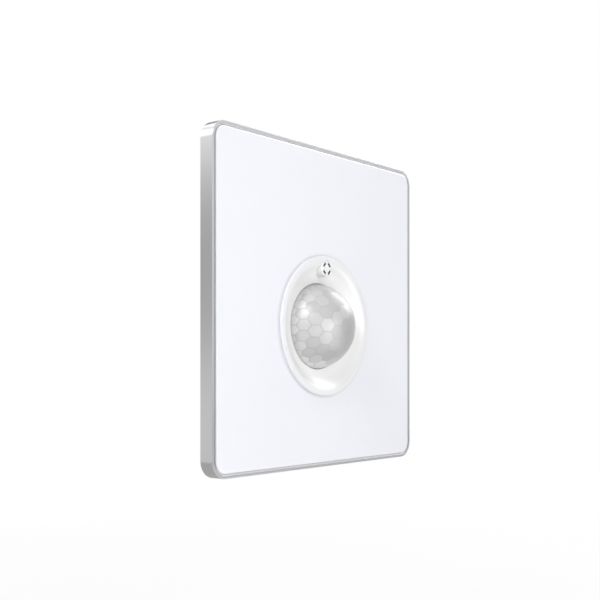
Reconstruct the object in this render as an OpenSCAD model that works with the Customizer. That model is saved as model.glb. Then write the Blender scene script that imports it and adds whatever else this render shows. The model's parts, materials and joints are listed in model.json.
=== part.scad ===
// Motion sensor wall switch: a square snap-on cover with a dome lens, on a base for a flush wall box.
// X runs right, Y runs into the wall and Z runs up. The origin lies on the wall, midway between the
// two fixing screws. Each piece is drawn with z out of the wall, then turned to face the room.

/* [Cover] */
// Width of the trim frame
frame_w = 86; // [82:0.5:96]
// Height of the trim frame
frame_h = 86; // [82:0.5:96]
// Radius of the frame's four corners, seen from the front
corner_r = 4.5; // [3:0.1:8]
// Width of the frame's front, from its edge to the plate
lip_w = 1.05; // [0.8:0.05:1.8]
// Bevel on the outer edge of the lip
lip_bevel = 0.1; // [0.05:0.05:0.4]
// Width of the groove between the lip and the plate
groove_w = 0.3; // [0.2:0.05:0.5]
// Depth of the groove below the lip
groove_depth = 0.25; // [0.15:0.05:0.5]
// Gap between the wall and the frame's rear edge
frame_lift = 0.5; // [0.1:0.05:0.7]
// Width of the ledge that the frame holds behind the plate
ledge_w = 1.6; // [1:0.1:2.4]
// Thickness of the white front plate
plate_t = 2.1; // [1.6:0.05:3]
// Rounding of the plate's front edge
plate_edge = 0.6; // [0.2:0.05:1]
// Gap between the plate and the frame
plate_gap = 0.05; // [0.03:0.01:0.2]
// Height of the plate's face over the lip
plate_proud = 0.2; // [0:0.05:0.5]
// Thickness of the carrier's web behind the plate
web_t = 0.75; // [0.6:0.05:1.2]
// Width of the carrier's edge flange
flange_w = 2.4; // [1.5:0.1:3]
// Height of the flange's rear edge over the wall
flange_lift = 0.5; // [0.2:0.1:1]
// Width of the pry notch in the frame's lower edge
pry_w = 10; // [6:0.5:16]
// Height of the pry notch
pry_h = 1; // [0.6:0.1:1.6]

/* [Sensor head] */
// Height of the lens axis over the plate's centre
sensor_y = -5.1; // [-8:0.1:0]
// Radius of the bezel
bezel_r = 18.85; // [18.4:0.05:22]
// Height of the bezel's rim over the plate
rim_proud = 0.95; // [0.5:0.05:2]
// Rounding of the rim's outer edge
rim_edge = 0.45; // [0.2:0.05:0.5]
// Width of the rim's face, from the bezel's edge to the dish
rim_w = 2.2; // [1.8:0.1:3.6]
// Depth of the dish below the rim
dish_depth = 3.05; // [2.5:0.05:3.5]
// Radius of the dish's hollow curve
dish_curve = 6.5; // [5:0.1:12]
// Width of the bezel's flange outside the skirt that passes through the plate
bezel_flange_w = 0.8; // [0.6:0.1:1]
// Radius of the dome lens
dome_r = 11.5; // [10.5:0.1:11.8]
// Depth of the dome's centre behind the plate's face
dome_depth = 3.7; // [3:0.1:4.5]
// Thickness of the lens
lens_t = 0.7; // [0.5:0.05:1.2]
// Angle between neighbouring facets of the lens
facet_pitch = 18.6; // [17:0.1:22]
// Depth of the seams between the facets
seam_depth = 0.14; // [0.04:0.01:0.25]
// Rings of facets round the middle one
facet_rings = 5; // [5:1:6]
// Width of the lens flange outside the dome
lens_flange_w = 1.7; // [1.2:0.1:1.9]
// Thickness of the lens flange
lens_flange_t = 0.8; // [0.6:0.1:1.2]
// Wall of the retainer ring round the bezel's skirt
retainer_wall = 1.85; // [1.4:0.05:2.2]
// Thickness of the retainer ring
retainer_t = 1.2; // [0.8:0.1:1.6]
// Inset of the light port from the bezel's edge
port_inset = 3.4; // [3.3:0.1:4.2]
// Radius of the light port's cap
port_r = 2.15; // [1.9:0.05:2.3]
// Thickness of the cap's face
port_face_t = 0.9; // [0.5:0.1:1.4]
// Wall of the cap
port_wall = 0.4; // [0.3:0.05:0.6]
// Radius of the ring of slots in the cap
slot_ring_r = 1.45; // [1.2:0.05:1.5]
// Width of each slot in the cap
port_slot_w = 0.6; // [0.3:0.05:0.7]
// Angle that each slot in the cap spans
port_slot_angle = 50; // [20:1:60]

/* [Base] */
// Thickness of the mounting base
base_t = 1.75; // [1.5:0.05:2.5]
// Rounding of the base's corners
base_corner_r = 1.5; // [0.5:0.1:3]
// Distance between the two fixing slots
screw_spacing = 60.3; // [60:0.1:62]
// Half the width of a fixing slot
slot_r = 2.1; // [1.8:0.05:2.4]
// Length of a fixing slot from end to end
slot_length = 6.6; // [5.5:0.1:7.4]
// Radius of the room for a screw head
head_room_r = 3.9; // [3.6:0.1:4]
// Wall of the well round a screw head
well_wall = 0.9; // [0.7:0.1:1.1]
// Depth of the well behind the wall plane
well_depth = 1.2; // [1:0.1:2]
// Thickness of the well's floor
well_floor = 1.4; // [1:0.1:1.8]
// Distance of the cover's pegs from the middle, sideways
peg_x = 29; // [28:0.1:30]
// Distance of the cover's pegs from the middle, up and down
peg_y = 24; // [16:0.5:30]
// Radius of a peg
peg_r = 1.5; // [1.2:0.05:1.8]
// Length of a peg from the carrier
peg_length = 5; // [4:0.1:6]
// Width of the slit in a peg
peg_slit = 0.6; // [0.4:0.1:0.8]
// Wall of a peg's socket
socket_wall = 0.9; // [0.7:0.1:1.2]
// Depth of a socket behind the wall plane
socket_depth = 2.4; // [1.5:0.1:3]

/* [Rear housing] */
// Room between the boards and the side walls of the rear housing
board_room = 0.6; // [0.3:0.1:1]
// Gap between the power board and the terminal block
board_gap = 1; // [0.6:0.1:1.6]
// Room between the sensor board and the tallest piece behind it
parts_room = 1.3; // [1.2:0.1:2.5]
// Room between the relay and the mounting base
relay_room = 0.8; // [0.6:0.1:2]
// Wall of the rear housing
housing_wall = 1.8; // [1.4:0.1:2]
// Radius of the rear housing's corners
housing_corner_r = 3; // [2:0.1:4]
// Bevel on the rear housing's back edges
housing_bevel = 1.2; // [0.6:0.1:1.6]
// Depth of the seat for the housing in the base
housing_seat = 0.45; // [0.3:0.05:0.6]
// Inset of the housing screws from the housing's sides
post_inset_x = 4.2; // [4:0.1:4.4]
// Inset of the housing screws from the housing's ends
post_inset_y = 3; // [2.8:0.1:3.2]
// Radius of the posts for the housing screws
post_r = 2.4; // [2.1:0.1:2.5]

/* [Boards] */
// Thickness of both circuit boards
board_t = 1.6; // [1:0.1:2]
// Width of the sensor board
sensor_board_w = 42; // [40:0.1:42.4]
// Height of the sensor board
sensor_board_h = 37.4; // [37:0.1:37.8]
// Drop of the sensor board's middle below the lens axis
sensor_board_drop = 0.6; // [0.4:0.1:0.8]
// Inset of the sensor board's screws from its sides
board_screw_inset_x = 1.9; // [1.8:0.1:2.1]
// Inset of the sensor board's screws from its ends
board_screw_inset_y = 2.4; // [2:0.1:2.8]
// Radius of the sensor board's posts
board_post_r = 2; // [1.8:0.1:2.1]
// Width of the power board
power_board_w = 42; // [41:0.1:42.4]
// Height of the power board
power_board_h = 40.6; // [40:0.1:41]
// Space between the power board and the housing's back
power_board_lift = 2; // [2:0.1:3]
// Inset of the power board's screws from its edges
power_screw_inset = 2; // [1.9:0.1:2.2]

/* [Electronics] */
// Radius of the infrared sensor's can
pir_r = 4.1; // [4:0.05:4.2]
// Height of the infrared sensor over its board
pir_h = 4.6; // [4.2:0.1:5]
// Depth of the infrared sensor's face behind the dome's centre
pir_setback = 0.35; // [0.05:0.05:0.5]
// Width of the infrared sensor's window
pir_window_w = 4; // [3:0.1:4.5]
// Height of the infrared sensor's window
pir_window_h = 3.2; // [2.5:0.1:3.6]
// Radius of the photocell
photocell_r = 2.55; // [2:0.05:3]
// Gap between the photocell's face and the retainer ring
photocell_gap = 0.3; // [0.2:0.1:1]
// Distance of the trimmers from the lens axis, sideways
trimmer_x = 12.2; // [11.8:0.1:12.4]
// Distance of the trimmers below the lens axis
trimmer_y = 8.1; // [7.9:0.1:8.2]
// Side of a trimmer's square body
trimmer_w = 6.6; // [6.2:0.1:6.8]
// Height of a trimmer's body over its board
trimmer_h = 1.7; // [1.5:0.1:1.9]
// Radius of a trimmer's rotor
rotor_r = 2.5; // [2:0.1:2.7]
// Height of a rotor's face over the trimmer's body
rotor_proud = 0.6; // [0.4:0.1:0.7]
// Depth of a rotor's seat in the trimmer's body
rotor_seat = 0.5; // [0.3:0.1:0.6]

/* [Terminals] */
// Distance between neighbouring terminals
terminal_pitch = 9.5; // [9.2:0.1:9.6]
// Height of the terminal block
block_h = 12.4; // [12:0.1:12.8]
// Wall at the ends of the terminal block
block_end = 1.6; // [1:0.1:2]
// Width of the space for a clamp cage
cell_w = 7.6; // [7.4:0.1:8]
// Height of the space for a clamp cage
cell_h = 7.4; // [7:0.1:7.8]
// Wall of the block in front of the cages
block_front = 1; // [0.8:0.1:1.4]
// Wall of the block between the cages and the screw heads
block_rear = 1.2; // [1:0.1:1.6]
// Gap for the wire when a clamp is open
wire_gap = 4.3; // [4.2:0.1:5]
// Width of the hole for a wire
wire_hole_w = 5.4; // [4.6:0.1:5.4]
// Travel of a clamp cage
clamp_travel = 4; // [3.5:0.1:4.2]
// Thickness of a clamp cage's thread wall
cage_thread_t = 1.8; // [1.6:0.1:2.2]
// Thickness of a clamp cage's jaw
cage_jaw_t = 1; // [0.8:0.1:1.4]
// Thickness of a clamp cage's side walls
cage_side_t = 0.85; // [0.7:0.05:0.9]
// Thickness of a busbar
busbar_t = 1; // [0.8:0.1:1.2]
// Width of a busbar
busbar_w = 4; // [3:0.1:4.4]
// Radius of a terminal screw
terminal_screw_r = 1.75; // [1.5:0.05:2]
// Radius of a terminal screw's head
terminal_head_r = 3; // [2.6:0.1:3.2]
// Thickness of a terminal screw's head
terminal_head_t = 1.6; // [1.4:0.1:1.8]

/* [Clearances] */
// Between pieces that drop into each other
slip = 0.15; // [0.05:0.05:0.2]
// Between the cover and the base that it slides off
play = 0.4; // [0.2:0.05:0.6]
// Between the carrier's web and the base
cover_gap = 0.15; // [0.1:0.05:0.3]
// Round pins, pegs and screws, on the radius
running = 0.06; // [0.02:0.01:0.1]
// Between a clamp cage and what it passes
cage_play = 0.2; // [0.1:0.05:0.25]

/* [Hidden] */
$fn = 96;
// Overshoot of a cut past the face that it opens
cut = 0.5;
// Smallest radius of an inner corner
inner_corner_min = 0.6;

// Heights out of the wall, from the base to the rim
web_rear = base_t + cover_gap;
web_front = web_rear + web_t;
plate_front = web_front + plate_t;
lip_front = plate_front - plate_proud;
rim_front = plate_front + rim_proud;
dish_floor = rim_front - dish_depth;
dome_z = plate_front - dome_depth;
bezel_rear = dome_z - lens_flange_t;
retainer_rear = bezel_rear - retainer_t;
pir_front = dome_z - pir_setback;

// Outlines that nest inside the frame
frame_in_w = frame_w - 2 * lip_w;
frame_in_h = frame_h - 2 * lip_w;
flange_out_w = frame_in_w - 2 * slip;
flange_out_h = frame_in_h - 2 * slip;
base_w = flange_out_w - 2 * flange_w - 2 * play;
base_h = flange_out_h - 2 * flange_w - 2 * play;

// Sensor head
dish_r = bezel_r - rim_w;
skirt_r = bezel_r - bezel_flange_w;
retainer_r = skirt_r + slip + retainer_wall;
lens_hole_r = dome_r + slip;
lens_flange_r = dome_r + lens_flange_w;
lens_seat_r = lens_flange_r + slip;
screw_ring_r = (lens_seat_r + skirt_r) / 2;
base_hole_r = retainer_r + play;
port_y = bezel_r - port_inset;
port_hole_r = port_r + running;
light_hole_r = port_r - port_wall;
port_seat_t = 1.9;
port_seat = bezel_rear + port_seat_t;
collar_drop = 0.05;
boss_r = 2;
small_screw_r = 0.85;
small_screw_grip = 2.7;
retainer_screw_angles = [30, 150, 270];
groove_wall = 1.1;
groove_roof = 1.3;

// Screws and the edges of boards
housing_screw_r = 1.2;
housing_screw_head_r = 2.2;
housing_screw_length = 10;
head_t = 1.1;
head_r = 1.7;
board_corner_r = 1;

// Sizes of the power board's pieces
relay_size = [22, 10.1, 12.3];
film_size = [6, 10, 11];
can_r = 4;
can_h = 7;
bridge_size = [8.5, 6.5, 3.3];
varistor_r = 3.3;
varistor_t = 3.6;
varistor_lead = 1;
fuse_r = 4.2;
fuse_h = 7.7;
tallest = max(relay_size[2], film_size[2]);
low_tallest = max(can_h, bridge_size[2], varistor_lead + 2 * varistor_r, fuse_h);

// Boards, from the front to the housing's back. The relay and the film capacitor stand above the sensor
// board, and the low pieces lie behind it.
board_front = pir_front - pir_h;
board_rear = board_front - board_t;
power_front = min(board_rear - parts_room - low_tallest, -relay_room - tallest);
power_rear = power_front - board_t;
housing_floor = power_rear - power_board_lift;
housing_depth = housing_wall - housing_floor;
sensor_board_y = sensor_y - sensor_board_drop;
board_screw_x = sensor_board_w / 2 - board_screw_inset_x;
board_screw_y = sensor_board_h / 2 - board_screw_inset_y;

// The housing is as wide as the wider board needs, and as high as the block and either board need
housing_w = max(sensor_board_w, power_board_w) + 2 * (board_room + housing_wall);
housing_h = max(
  block_h + board_gap + power_board_h + 2 * post_inset_y,
  2 * (board_screw_y + board_post_r - sensor_board_y + post_r + post_inset_y + slip)
);
post_x = housing_w / 2 - post_inset_x;
post_y = housing_h / 2 - post_inset_y;

// Terminal block, from its front wall to the screw heads
jaw_gap = 0.3;
head_recess = 0.6;
block_w = 2 * terminal_pitch + cell_w + 2 * block_end;
block_bottom = -housing_h / 2;
block_top = block_bottom + block_h;
clamp_y = block_bottom + block_h / 2;
head_rest = -housing_depth + terminal_head_t + head_recess;
cell_rear = head_rest + block_rear;
cage_rear = cell_rear + cage_play + clamp_travel;
thread_front = cage_rear + cage_thread_t;
busbar_rear = thread_front + cage_play;
busbar_front = busbar_rear + busbar_t;
jaw_rear = busbar_front + wire_gap;
jaw_front = jaw_rear + cage_jaw_t;
block_z = jaw_front + jaw_gap + block_front;
cage_w = cell_w - 2 * cage_play;
cage_h = cell_h - 4 * cage_play;
rail_w = 0.9;
rail_t = 2;
rail_z = (block_z - housing_depth) / 2;
rib_t = 1.6;
riser_inset = 1.6;

// Places on the power board: distance from its middle or its side, and drop from its upper edge
relay_x = 5.5;
relay_drop = 5.4;
film_x = 9.6;
film_drop = 5.4;
can_inset = 6;
can_drop = 25.5;
bridge_x = 3;
bridge_drop = 22;
varistor_x = 6.5;
varistor_drop = 21.5;
fuse_inset = 5.5;
fuse_drop = 27.4;
header_drop = 31;
board_top = block_top + board_gap + power_board_h;
power_board_y = board_top - power_board_h / 2;
relay_at = [-relay_x, board_top - relay_drop];
film_at = [film_x, board_top - film_drop];
can_at = [can_inset - power_board_w / 2, board_top - can_drop];
bridge_at = [-bridge_x, board_top - bridge_drop];
varistor_at = [varistor_x, board_top - varistor_drop];
fuse_at = [power_board_w / 2 - fuse_inset, board_top - fuse_drop];
header_y = board_top - header_drop;
riser_y = board_top - power_board_h + riser_inset;
header_pins_n = 6;
header_pitch = 2.54;
pin_w = 0.64;
lead_r = 0.3;
pir_window_depth = 0.5;

// Turns a drawing with z out of the wall so that it faces the room
module on_wall() {
  rotate([90, 0, 0]) children();
}

module at(place) {
  translate([place[0], place[1], 0]) children();
}

module at_corners(x, y) {
  for (sx = [-1, 1], sy = [-1, 1]) at([sx * x, sy * y]) children();
}

module at_lens_axis() {
  at([0, sensor_y]) children();
}

module prism(z0, z1) {
  translate([0, 0, z0]) linear_extrude(z1 - z0) children();
}

module rod(r, z0, z1) {
  translate([0, 0, z0]) cylinder(r = r, h = z1 - z0);
}

module box_between(size, z0, z1) {
  prism(z0, z1) square(size, center = true);
}

// Ring profile between two radii and two heights
module band(r0, r1, z0, z1) {
  translate([r0, z0]) square([r1 - r0, z1 - z0]);
}

function inner_corner(inset) = max(corner_r - inset, inner_corner_min);

module rounded_outline(w, h, r) {
  square([w - 2 * r, h], center = true);
  square([w, h - 2 * r], center = true);
  at_corners(w / 2 - r, h / 2 - r) circle(r);
}

module slab(w, h, r, z0, z1) {
  prism(z0, z1) rounded_outline(w, h, r);
}

module stadium(r, length, z0, z1) {
  prism(z0, z1) {
    square([length - 2 * r, 2 * r], center = true);
    for (s = [-1, 1]) translate([s * (length / 2 - r), 0]) circle(r);
  }
}

// Carries a profile round a rectangle with rounded corners. Profile x is 0 on the outline.
module sweep_round(w, h, r) {
  for (k = [0:3]) {
    out = k % 2 == 0 ? w : h;
    along = k % 2 == 0 ? h : w;
    rotate(90 * k) {
      translate([out / 2, 0, 0]) rotate([90, 0, 0])
        linear_extrude(along - 2 * r, center = true) children();
      translate([out / 2 - r, along / 2 - r, 0])
        rotate_extrude(angle = 90) translate([r, 0]) children();
    }
  }
}

// Corner of material taken off an outside edge by a bevel at the given height, facing up or down
module bevel_cutter(size, z, up) {
  polygon([[-size, z], [cut, z + up * cut], [cut, z - up * (size + cut)], [0, z - up * size]]);
}

// Lip, side wall and ledge of the silver frame
module trim_frame() {
  color("silver") on_wall() difference() {
    union() {
      sweep_round(frame_w, frame_h, corner_r) polygon([
        [-lip_w, frame_lift],
        [0, frame_lift],
        [0, lip_front - lip_bevel],
        [-lip_bevel, lip_front],
        [-lip_w + groove_w, lip_front],
        [-lip_w + groove_w, lip_front - groove_depth],
        [-lip_w, lip_front - groove_depth],
      ]);
      prism(web_rear, web_front) difference() {
        rounded_outline(frame_w - lip_w, frame_h - lip_w, inner_corner(lip_w / 2));
        rounded_outline(frame_in_w - 2 * ledge_w, frame_in_h - 2 * ledge_w, inner_corner(lip_w + ledge_w));
      }
    }
    at([0, -frame_h / 2]) box_between([pry_w, 2 * lip_w + cut], frame_lift - cut, frame_lift + pry_h);
  }
}

// White plate with a rounded front edge and the hole for the sensor head
module front_plate() {
  w = frame_in_w - 2 * plate_gap;
  h = frame_in_h - 2 * plate_gap;
  r = max(inner_corner(lip_w + plate_gap), plate_edge);
  color("white") on_wall() difference() {
    union() {
      box_between([w - 2 * r, h - 2 * r], web_front, plate_front);
      sweep_round(w, h, r) {
        band(-r, -plate_edge, web_front, plate_front);
        band(-r, 0, web_front, plate_front - plate_edge);
        translate([-plate_edge, plate_front - plate_edge]) circle(plate_edge);
      }
    }
    at_lens_axis() rod(skirt_r + slip, web_front - cut, plate_front + cut);
  }
}

// Round peg with a slit that grips the socket in the base
module cover_peg() {
  tip = web_rear - peg_length;
  taper = peg_r / 3;
  difference() {
    union() {
      rod(peg_r, tip + taper, web_rear + web_t / 2);
      translate([0, 0, tip]) cylinder(r1 = peg_r - taper, r2 = peg_r, h = taper);
    }
    box_between([peg_slit, 2 * peg_r + cut], tip - cut, tip + peg_length * 0.7);
  }
}

// Tray behind the plate: web, edge flange behind the frame's ledge, and four pegs
module cover_carrier() {
  web_w = frame_in_w - 2 * ledge_w - 2 * slip;
  web_h = frame_in_h - 2 * ledge_w - 2 * slip;
  color("gainsboro") on_wall() difference() {
    union() {
      slab(web_w, web_h, inner_corner(lip_w + ledge_w + slip), web_rear, web_front);
      prism(flange_lift, web_rear) difference() {
        rounded_outline(flange_out_w, flange_out_h, inner_corner(lip_w + slip));
        rounded_outline(flange_out_w - 2 * flange_w, flange_out_h - 2 * flange_w, base_corner_r);
      }
      at_corners(peg_x, peg_y) cover_peg();
    }
    at_lens_axis() rod(skirt_r + slip, web_rear - cut, web_front + cut);
    for (s = [-1, 1]) at([s * screw_spacing / 2, 0])
      stadium(head_room_r, slot_length + 2 * (head_room_r - slot_r), web_rear - cut, web_front + cut);
  }
}

// Middle of the dish's hollow curve, found from the two edges that the curve joins
function dish_middle() =
  let (
    rim = [dish_r, rim_front],
    floor_edge = [lens_hole_r, dish_floor],
    chord = rim - floor_edge,
    reach = sqrt(dish_curve ^ 2 - (norm(chord) / 2) ^ 2),
    across = [-chord[1], chord[0]] / norm(chord)
  )
  (rim + floor_edge) / 2 + across * reach;

// Section of the bezel: rim on the plate, skirt through it, dish and lens seat
module bezel_profile() {
  difference() {
    union() {
      band(lens_hole_r, skirt_r, bezel_rear, rim_front);
      band(dish_r, bezel_r - rim_edge, plate_front, rim_front);
      band(dish_r, bezel_r, plate_front, rim_front - rim_edge);
      translate([bezel_r - rim_edge, rim_front - rim_edge]) circle(rim_edge);
    }
    translate(dish_middle()) circle(dish_curve);
    band(lens_hole_r - cut, lens_seat_r, bezel_rear - cut, dome_z);
  }
}

module at_retainer_screws() {
  for (a = retainer_screw_angles) rotate(a) translate([screw_ring_r, 0, 0]) children();
}

module sensor_bezel() {
  color("white") on_wall() at_lens_axis() difference() {
    rotate_extrude() bezel_profile();
    difference() {
      rotate_extrude()
        band(lens_seat_r + groove_wall, skirt_r - groove_wall, bezel_rear - cut, dish_floor - groove_roof);
      at_retainer_screws() rod(boss_r, bezel_rear - 2 * cut, dish_floor);
      at([0, port_y]) rod(port_r + groove_wall, bezel_rear - 2 * cut, dish_floor);
    }
    at_retainer_screws()
      rod(small_screw_r + running, bezel_rear - cut, bezel_rear + small_screw_grip + slip);
    at([0, port_y]) {
      rod(port_hole_r, port_seat, rim_front + cut);
      rod(light_hole_r, bezel_rear - cut, port_seat + cut);
    }
  }
}

// Facets of the lens: hexagons laid out from the lens axis, in degrees, and wrapped on the dome
function ring_of(q, r) = max(abs(q), abs(r), abs(q + r));
function facet_middle(c) = facet_pitch * [sqrt(3) / 2 * c[0], c[1] + c[0] / 2];
facets = [
  for (q = [-facet_rings:facet_rings], r = [-facet_rings:facet_rings])
    if (ring_of(q, r) <= facet_rings) [q, r]
];
facet_neighbours = [[1, 0], [0, 1], [-1, 1], [-1, 0], [0, -1], [1, -1]];
facet_corner = facet_pitch / sqrt(3);

// Point of a facet: its distance from the facet's middle sets how far it sinks towards the seam
function on_dome(place, sink) =
  let (
    tilt = norm(place),
    way = tilt == 0 ? [0, 0] : place / tilt,
    s = dome_r - sink,
    p = [s * sin(tilt) * way[0], s * sin(tilt) * way[1], s * cos(tilt)]
  )
  [for (v = p) round(v * 1e5) / 1e5];
function facet_point(c, reach, angle) =
  on_dome(facet_middle(c) + reach * [cos(angle), sin(angle)], seam_depth * (reach / facet_corner) ^ 2);

// Each facet has its middle, an inner ring of 6 points and an outer ring of 6 corners and 6 edge middles
facet_sides_n = 6;
facet_points_n = 1 + 3 * facet_sides_n;
function facet_points(c) = concat(
  [facet_point(c, 0, 0)],
  [for (k = [0:5]) facet_point(c, facet_corner / 2, 60 * k)],
  [for (k = [0:5], e = [0, 1]) facet_point(c, e == 0 ? facet_corner : facet_pitch / 2, 60 * k + 30 * e)]
);
function inner_at(f, k) = f * facet_points_n + 1 + k % facet_sides_n;
function corner_at(f, k) = f * facet_points_n + 1 + facet_sides_n + 2 * (k % facet_sides_n);
function edge_at(f, k) = corner_at(f, k) + 1;
function facet_faces(f) = [for (k = [0:5]) each [
  [f * facet_points_n, inner_at(f, k + 1), inner_at(f, k)],
  [inner_at(f, k), edge_at(f, k), corner_at(f, k)],
  [inner_at(f, k), inner_at(f, k + 1), edge_at(f, k)],
  [inner_at(f, k + 1), corner_at(f, k + 1), edge_at(f, k)],
]];

// Closes the outermost facets to the dome's centre
function closing_faces(f, last) = [
  for (k = [0:5])
    let (n = facets[f] + facet_neighbours[k])
    if (ring_of(n[0], n[1]) > facet_rings)
      each [[corner_at(f, k), edge_at(f, k), last], [edge_at(f, k), corner_at(f, k + 1), last]]
];

module faceted_dome() {
  n = len(facets);
  polyhedron(
    points = concat([for (c = facets) each facet_points(c)], [[0, 0, 0]]),
    faces = concat(
      [for (f = [0:n - 1]) each facet_faces(f)],
      [for (f = [0:n - 1]) each closing_faces(f, n * facet_points_n)]
    )
  );
}

// Dome lens of hexagonal facets on a plain collar with a seat flange
module fresnel_lens() {
  collar_top = dish_floor - collar_drop;
  color("whitesmoke") on_wall() at_lens_axis() difference() {
    union() {
      intersection() {
        translate([0, 0, dome_z]) faceted_dome();
        rod(dome_r + cut, collar_top, dome_z + dome_r + cut);
      }
      rod(dome_r, bezel_rear, collar_top);
      rod(lens_flange_r, bezel_rear, dome_z);
    }
    translate([0, 0, dome_z]) sphere(dome_r - lens_t);
    rod(dome_r - lens_t, bezel_rear - cut, dome_z);
  }
}

// Stepped ring that clamps the lens to the bezel and the bezel to the carrier
module lens_retainer() {
  color("dimgray") on_wall() at_lens_axis() difference() {
    rotate_extrude() {
      band(dome_r - lens_t, retainer_r, retainer_rear, bezel_rear);
      band(skirt_r + slip, retainer_r, bezel_rear - retainer_t / 2, web_rear);
    }
    at_retainer_screws() rod(small_screw_r + slip, retainer_rear - cut, bezel_rear + cut);
    at([0, port_y]) rod(light_hole_r, retainer_rear - cut, bezel_rear + cut);
  }
}

// Screw with its head at z = 0, pointing up, with a cross recess in the head
module pan_screw(r, length) {
  difference() {
    union() {
      rod(head_r, -head_t, 0);
      rod(r, -head_t / 2, length);
    }
    for (a = [0, 90]) rotate(a) box_between([head_r * 1.1, head_r * 0.25], -head_t - cut, -head_t * 0.45);
  }
}

module retainer_screws() {
  color("lightsteelblue") on_wall() at_lens_axis() at_retainer_screws()
    translate([0, 0, retainer_rear]) pan_screw(small_screw_r, retainer_t + small_screw_grip);
}

// Cap of the light port with four curved slots
module light_port_cap() {
  color("white") on_wall() at([0, sensor_y + port_y]) difference() {
    rod(port_r, port_seat, rim_front);
    rod(light_hole_r, port_seat - cut, rim_front - port_face_t);
    for (k = [0:3]) rotate(90 * k + 45 - port_slot_angle / 2) rotate_extrude(angle = port_slot_angle)
      translate([slot_ring_r, 0])
        band(-port_slot_w / 2, port_slot_w / 2, rim_front - port_face_t - cut, rim_front + cut);
  }
}

module at_fixing_slots() {
  for (s = [-1, 1]) at([s * screw_spacing / 2, 0]) children();
}

module at_sensor_board_screws() {
  at([0, sensor_board_y]) at_corners(board_screw_x, board_screw_y) children();
}

// Plate on the wall with screw wells, peg sockets, board posts and the seat for the rear housing
module mounting_base() {
  room_length = slot_length + 2 * (head_room_r - slot_r);
  well_r = head_room_r + well_wall;
  back = -max(well_depth, socket_depth);
  post_bite = 0.4;
  color("ghostwhite") on_wall() difference() {
    union() {
      difference() {
        slab(base_w, base_h, base_corner_r, 0, base_t);
        slab(housing_w + 2 * slip, housing_h + 2 * slip, housing_corner_r + slip, -cut, housing_seat);
      }
      intersection() {
        slab(base_w, base_h, base_corner_r, back - cut, base_t);
        difference() {
          union() {
            at_fixing_slots() stadium(well_r, room_length + 2 * well_wall, -well_depth, base_t);
            at_corners(peg_x, peg_y) rod(peg_r + running + socket_wall, -socket_depth, base_t);
          }
          slab(housing_w + 2 * slip, housing_h + 2 * slip, housing_corner_r + slip, back - cut, housing_seat);
        }
      }
      at_sensor_board_screws() rod(board_post_r, board_front, base_t - post_bite);
    }
    at_lens_axis() rod(base_hole_r, -cut, base_t + cut);
    at_fixing_slots() {
      stadium(head_room_r, room_length, well_floor - well_depth, base_t + cut);
      stadium(slot_r, slot_length, -well_depth - cut, base_t + cut);
    }
    at_corners(peg_x, peg_y) rod(peg_r + running, -socket_depth - cut, base_t + cut);
    at_corners(post_x, post_y) countersunk(running);
    at_sensor_board_screws()
      rod(small_screw_r + running, board_front - cut, board_front + small_screw_grip + slip);
  }
}

// Countersunk screw, or with a gap the hole for one, flush with the front of the base
module countersunk(gap) {
  cone = housing_screw_head_r - housing_screw_r;
  rod(housing_screw_r + gap, base_t - housing_screw_length - gap, base_t - cone / 2);
  translate([0, 0, base_t - cone])
    cylinder(r1 = housing_screw_r + gap, r2 = housing_screw_head_r + gap, h = cone);
  if (gap > 0) rod(housing_screw_head_r + gap, base_t - gap / 6, base_t + cut);
}

module housing_screws() {
  recess = [housing_screw_head_r * 1.1, housing_screw_head_r * 0.25];
  recess_depth = 0.6;
  color("lightsteelblue") on_wall() at_corners(post_x, post_y) difference() {
    countersunk(0);
    for (a = [0, 90]) rotate(a) box_between(recess, base_t - recess_depth, base_t + cut);
  }
}

module at_power_board_screws() {
  at([0, power_board_y])
    at_corners(power_board_w / 2 - power_screw_inset, power_board_h / 2 - power_screw_inset) children();
}

// Box in the wall, with posts for its screws, bosses for the power board and a bay for the terminals
module rear_housing() {
  bay_w = block_w + 2 * slip;
  bay_h = block_h + slip + cut;
  boss_w = board_post_r - 2 * slip;
  color("ivory") on_wall() difference() {
    union() {
      difference() {
        slab(housing_w, housing_h, housing_corner_r, -housing_depth, housing_seat);
        sweep_round(housing_w, housing_h, housing_corner_r) bevel_cutter(housing_bevel, -housing_depth, -1);
        slab(housing_w - 2 * housing_wall, housing_h - 2 * housing_wall,
          housing_corner_r - housing_wall + inner_corner_min, housing_floor, housing_seat + cut);
      }
      at_corners(post_x, post_y) rod(post_r, housing_floor - housing_wall / 2, housing_seat);
      at_power_board_screws() rod(boss_w, housing_floor - housing_wall / 2, power_rear);
      for (s = [-1, 1]) at([s * (bay_w + rib_t) / 2, (block_bottom + block_top + housing_wall) / 2])
        box_between([rib_t, block_h - housing_wall], housing_floor - housing_wall / 2, block_z);
    }
    at([0, (block_bottom + block_top + slip - cut) / 2])
      box_between([bay_w, bay_h], -housing_depth - cut, block_z + slip);
    at([0, block_bottom + housing_wall + block_h / 2])
      box_between([bay_w + 2 * rail_w, block_h], rail_z - rail_t / 2 - slip, rail_z + rail_t / 2 + slip);
    at_lens_axis() rod(base_hole_r, retainer_rear - play, housing_seat + cut);
    at_corners(post_x, post_y)
      rod(housing_screw_r + running, base_t - housing_screw_length - slip, housing_seat + cut);
    at_power_board_screws()
      rod(small_screw_r + running, power_rear - small_screw_grip - slip, power_rear + cut);
  }
}

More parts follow.
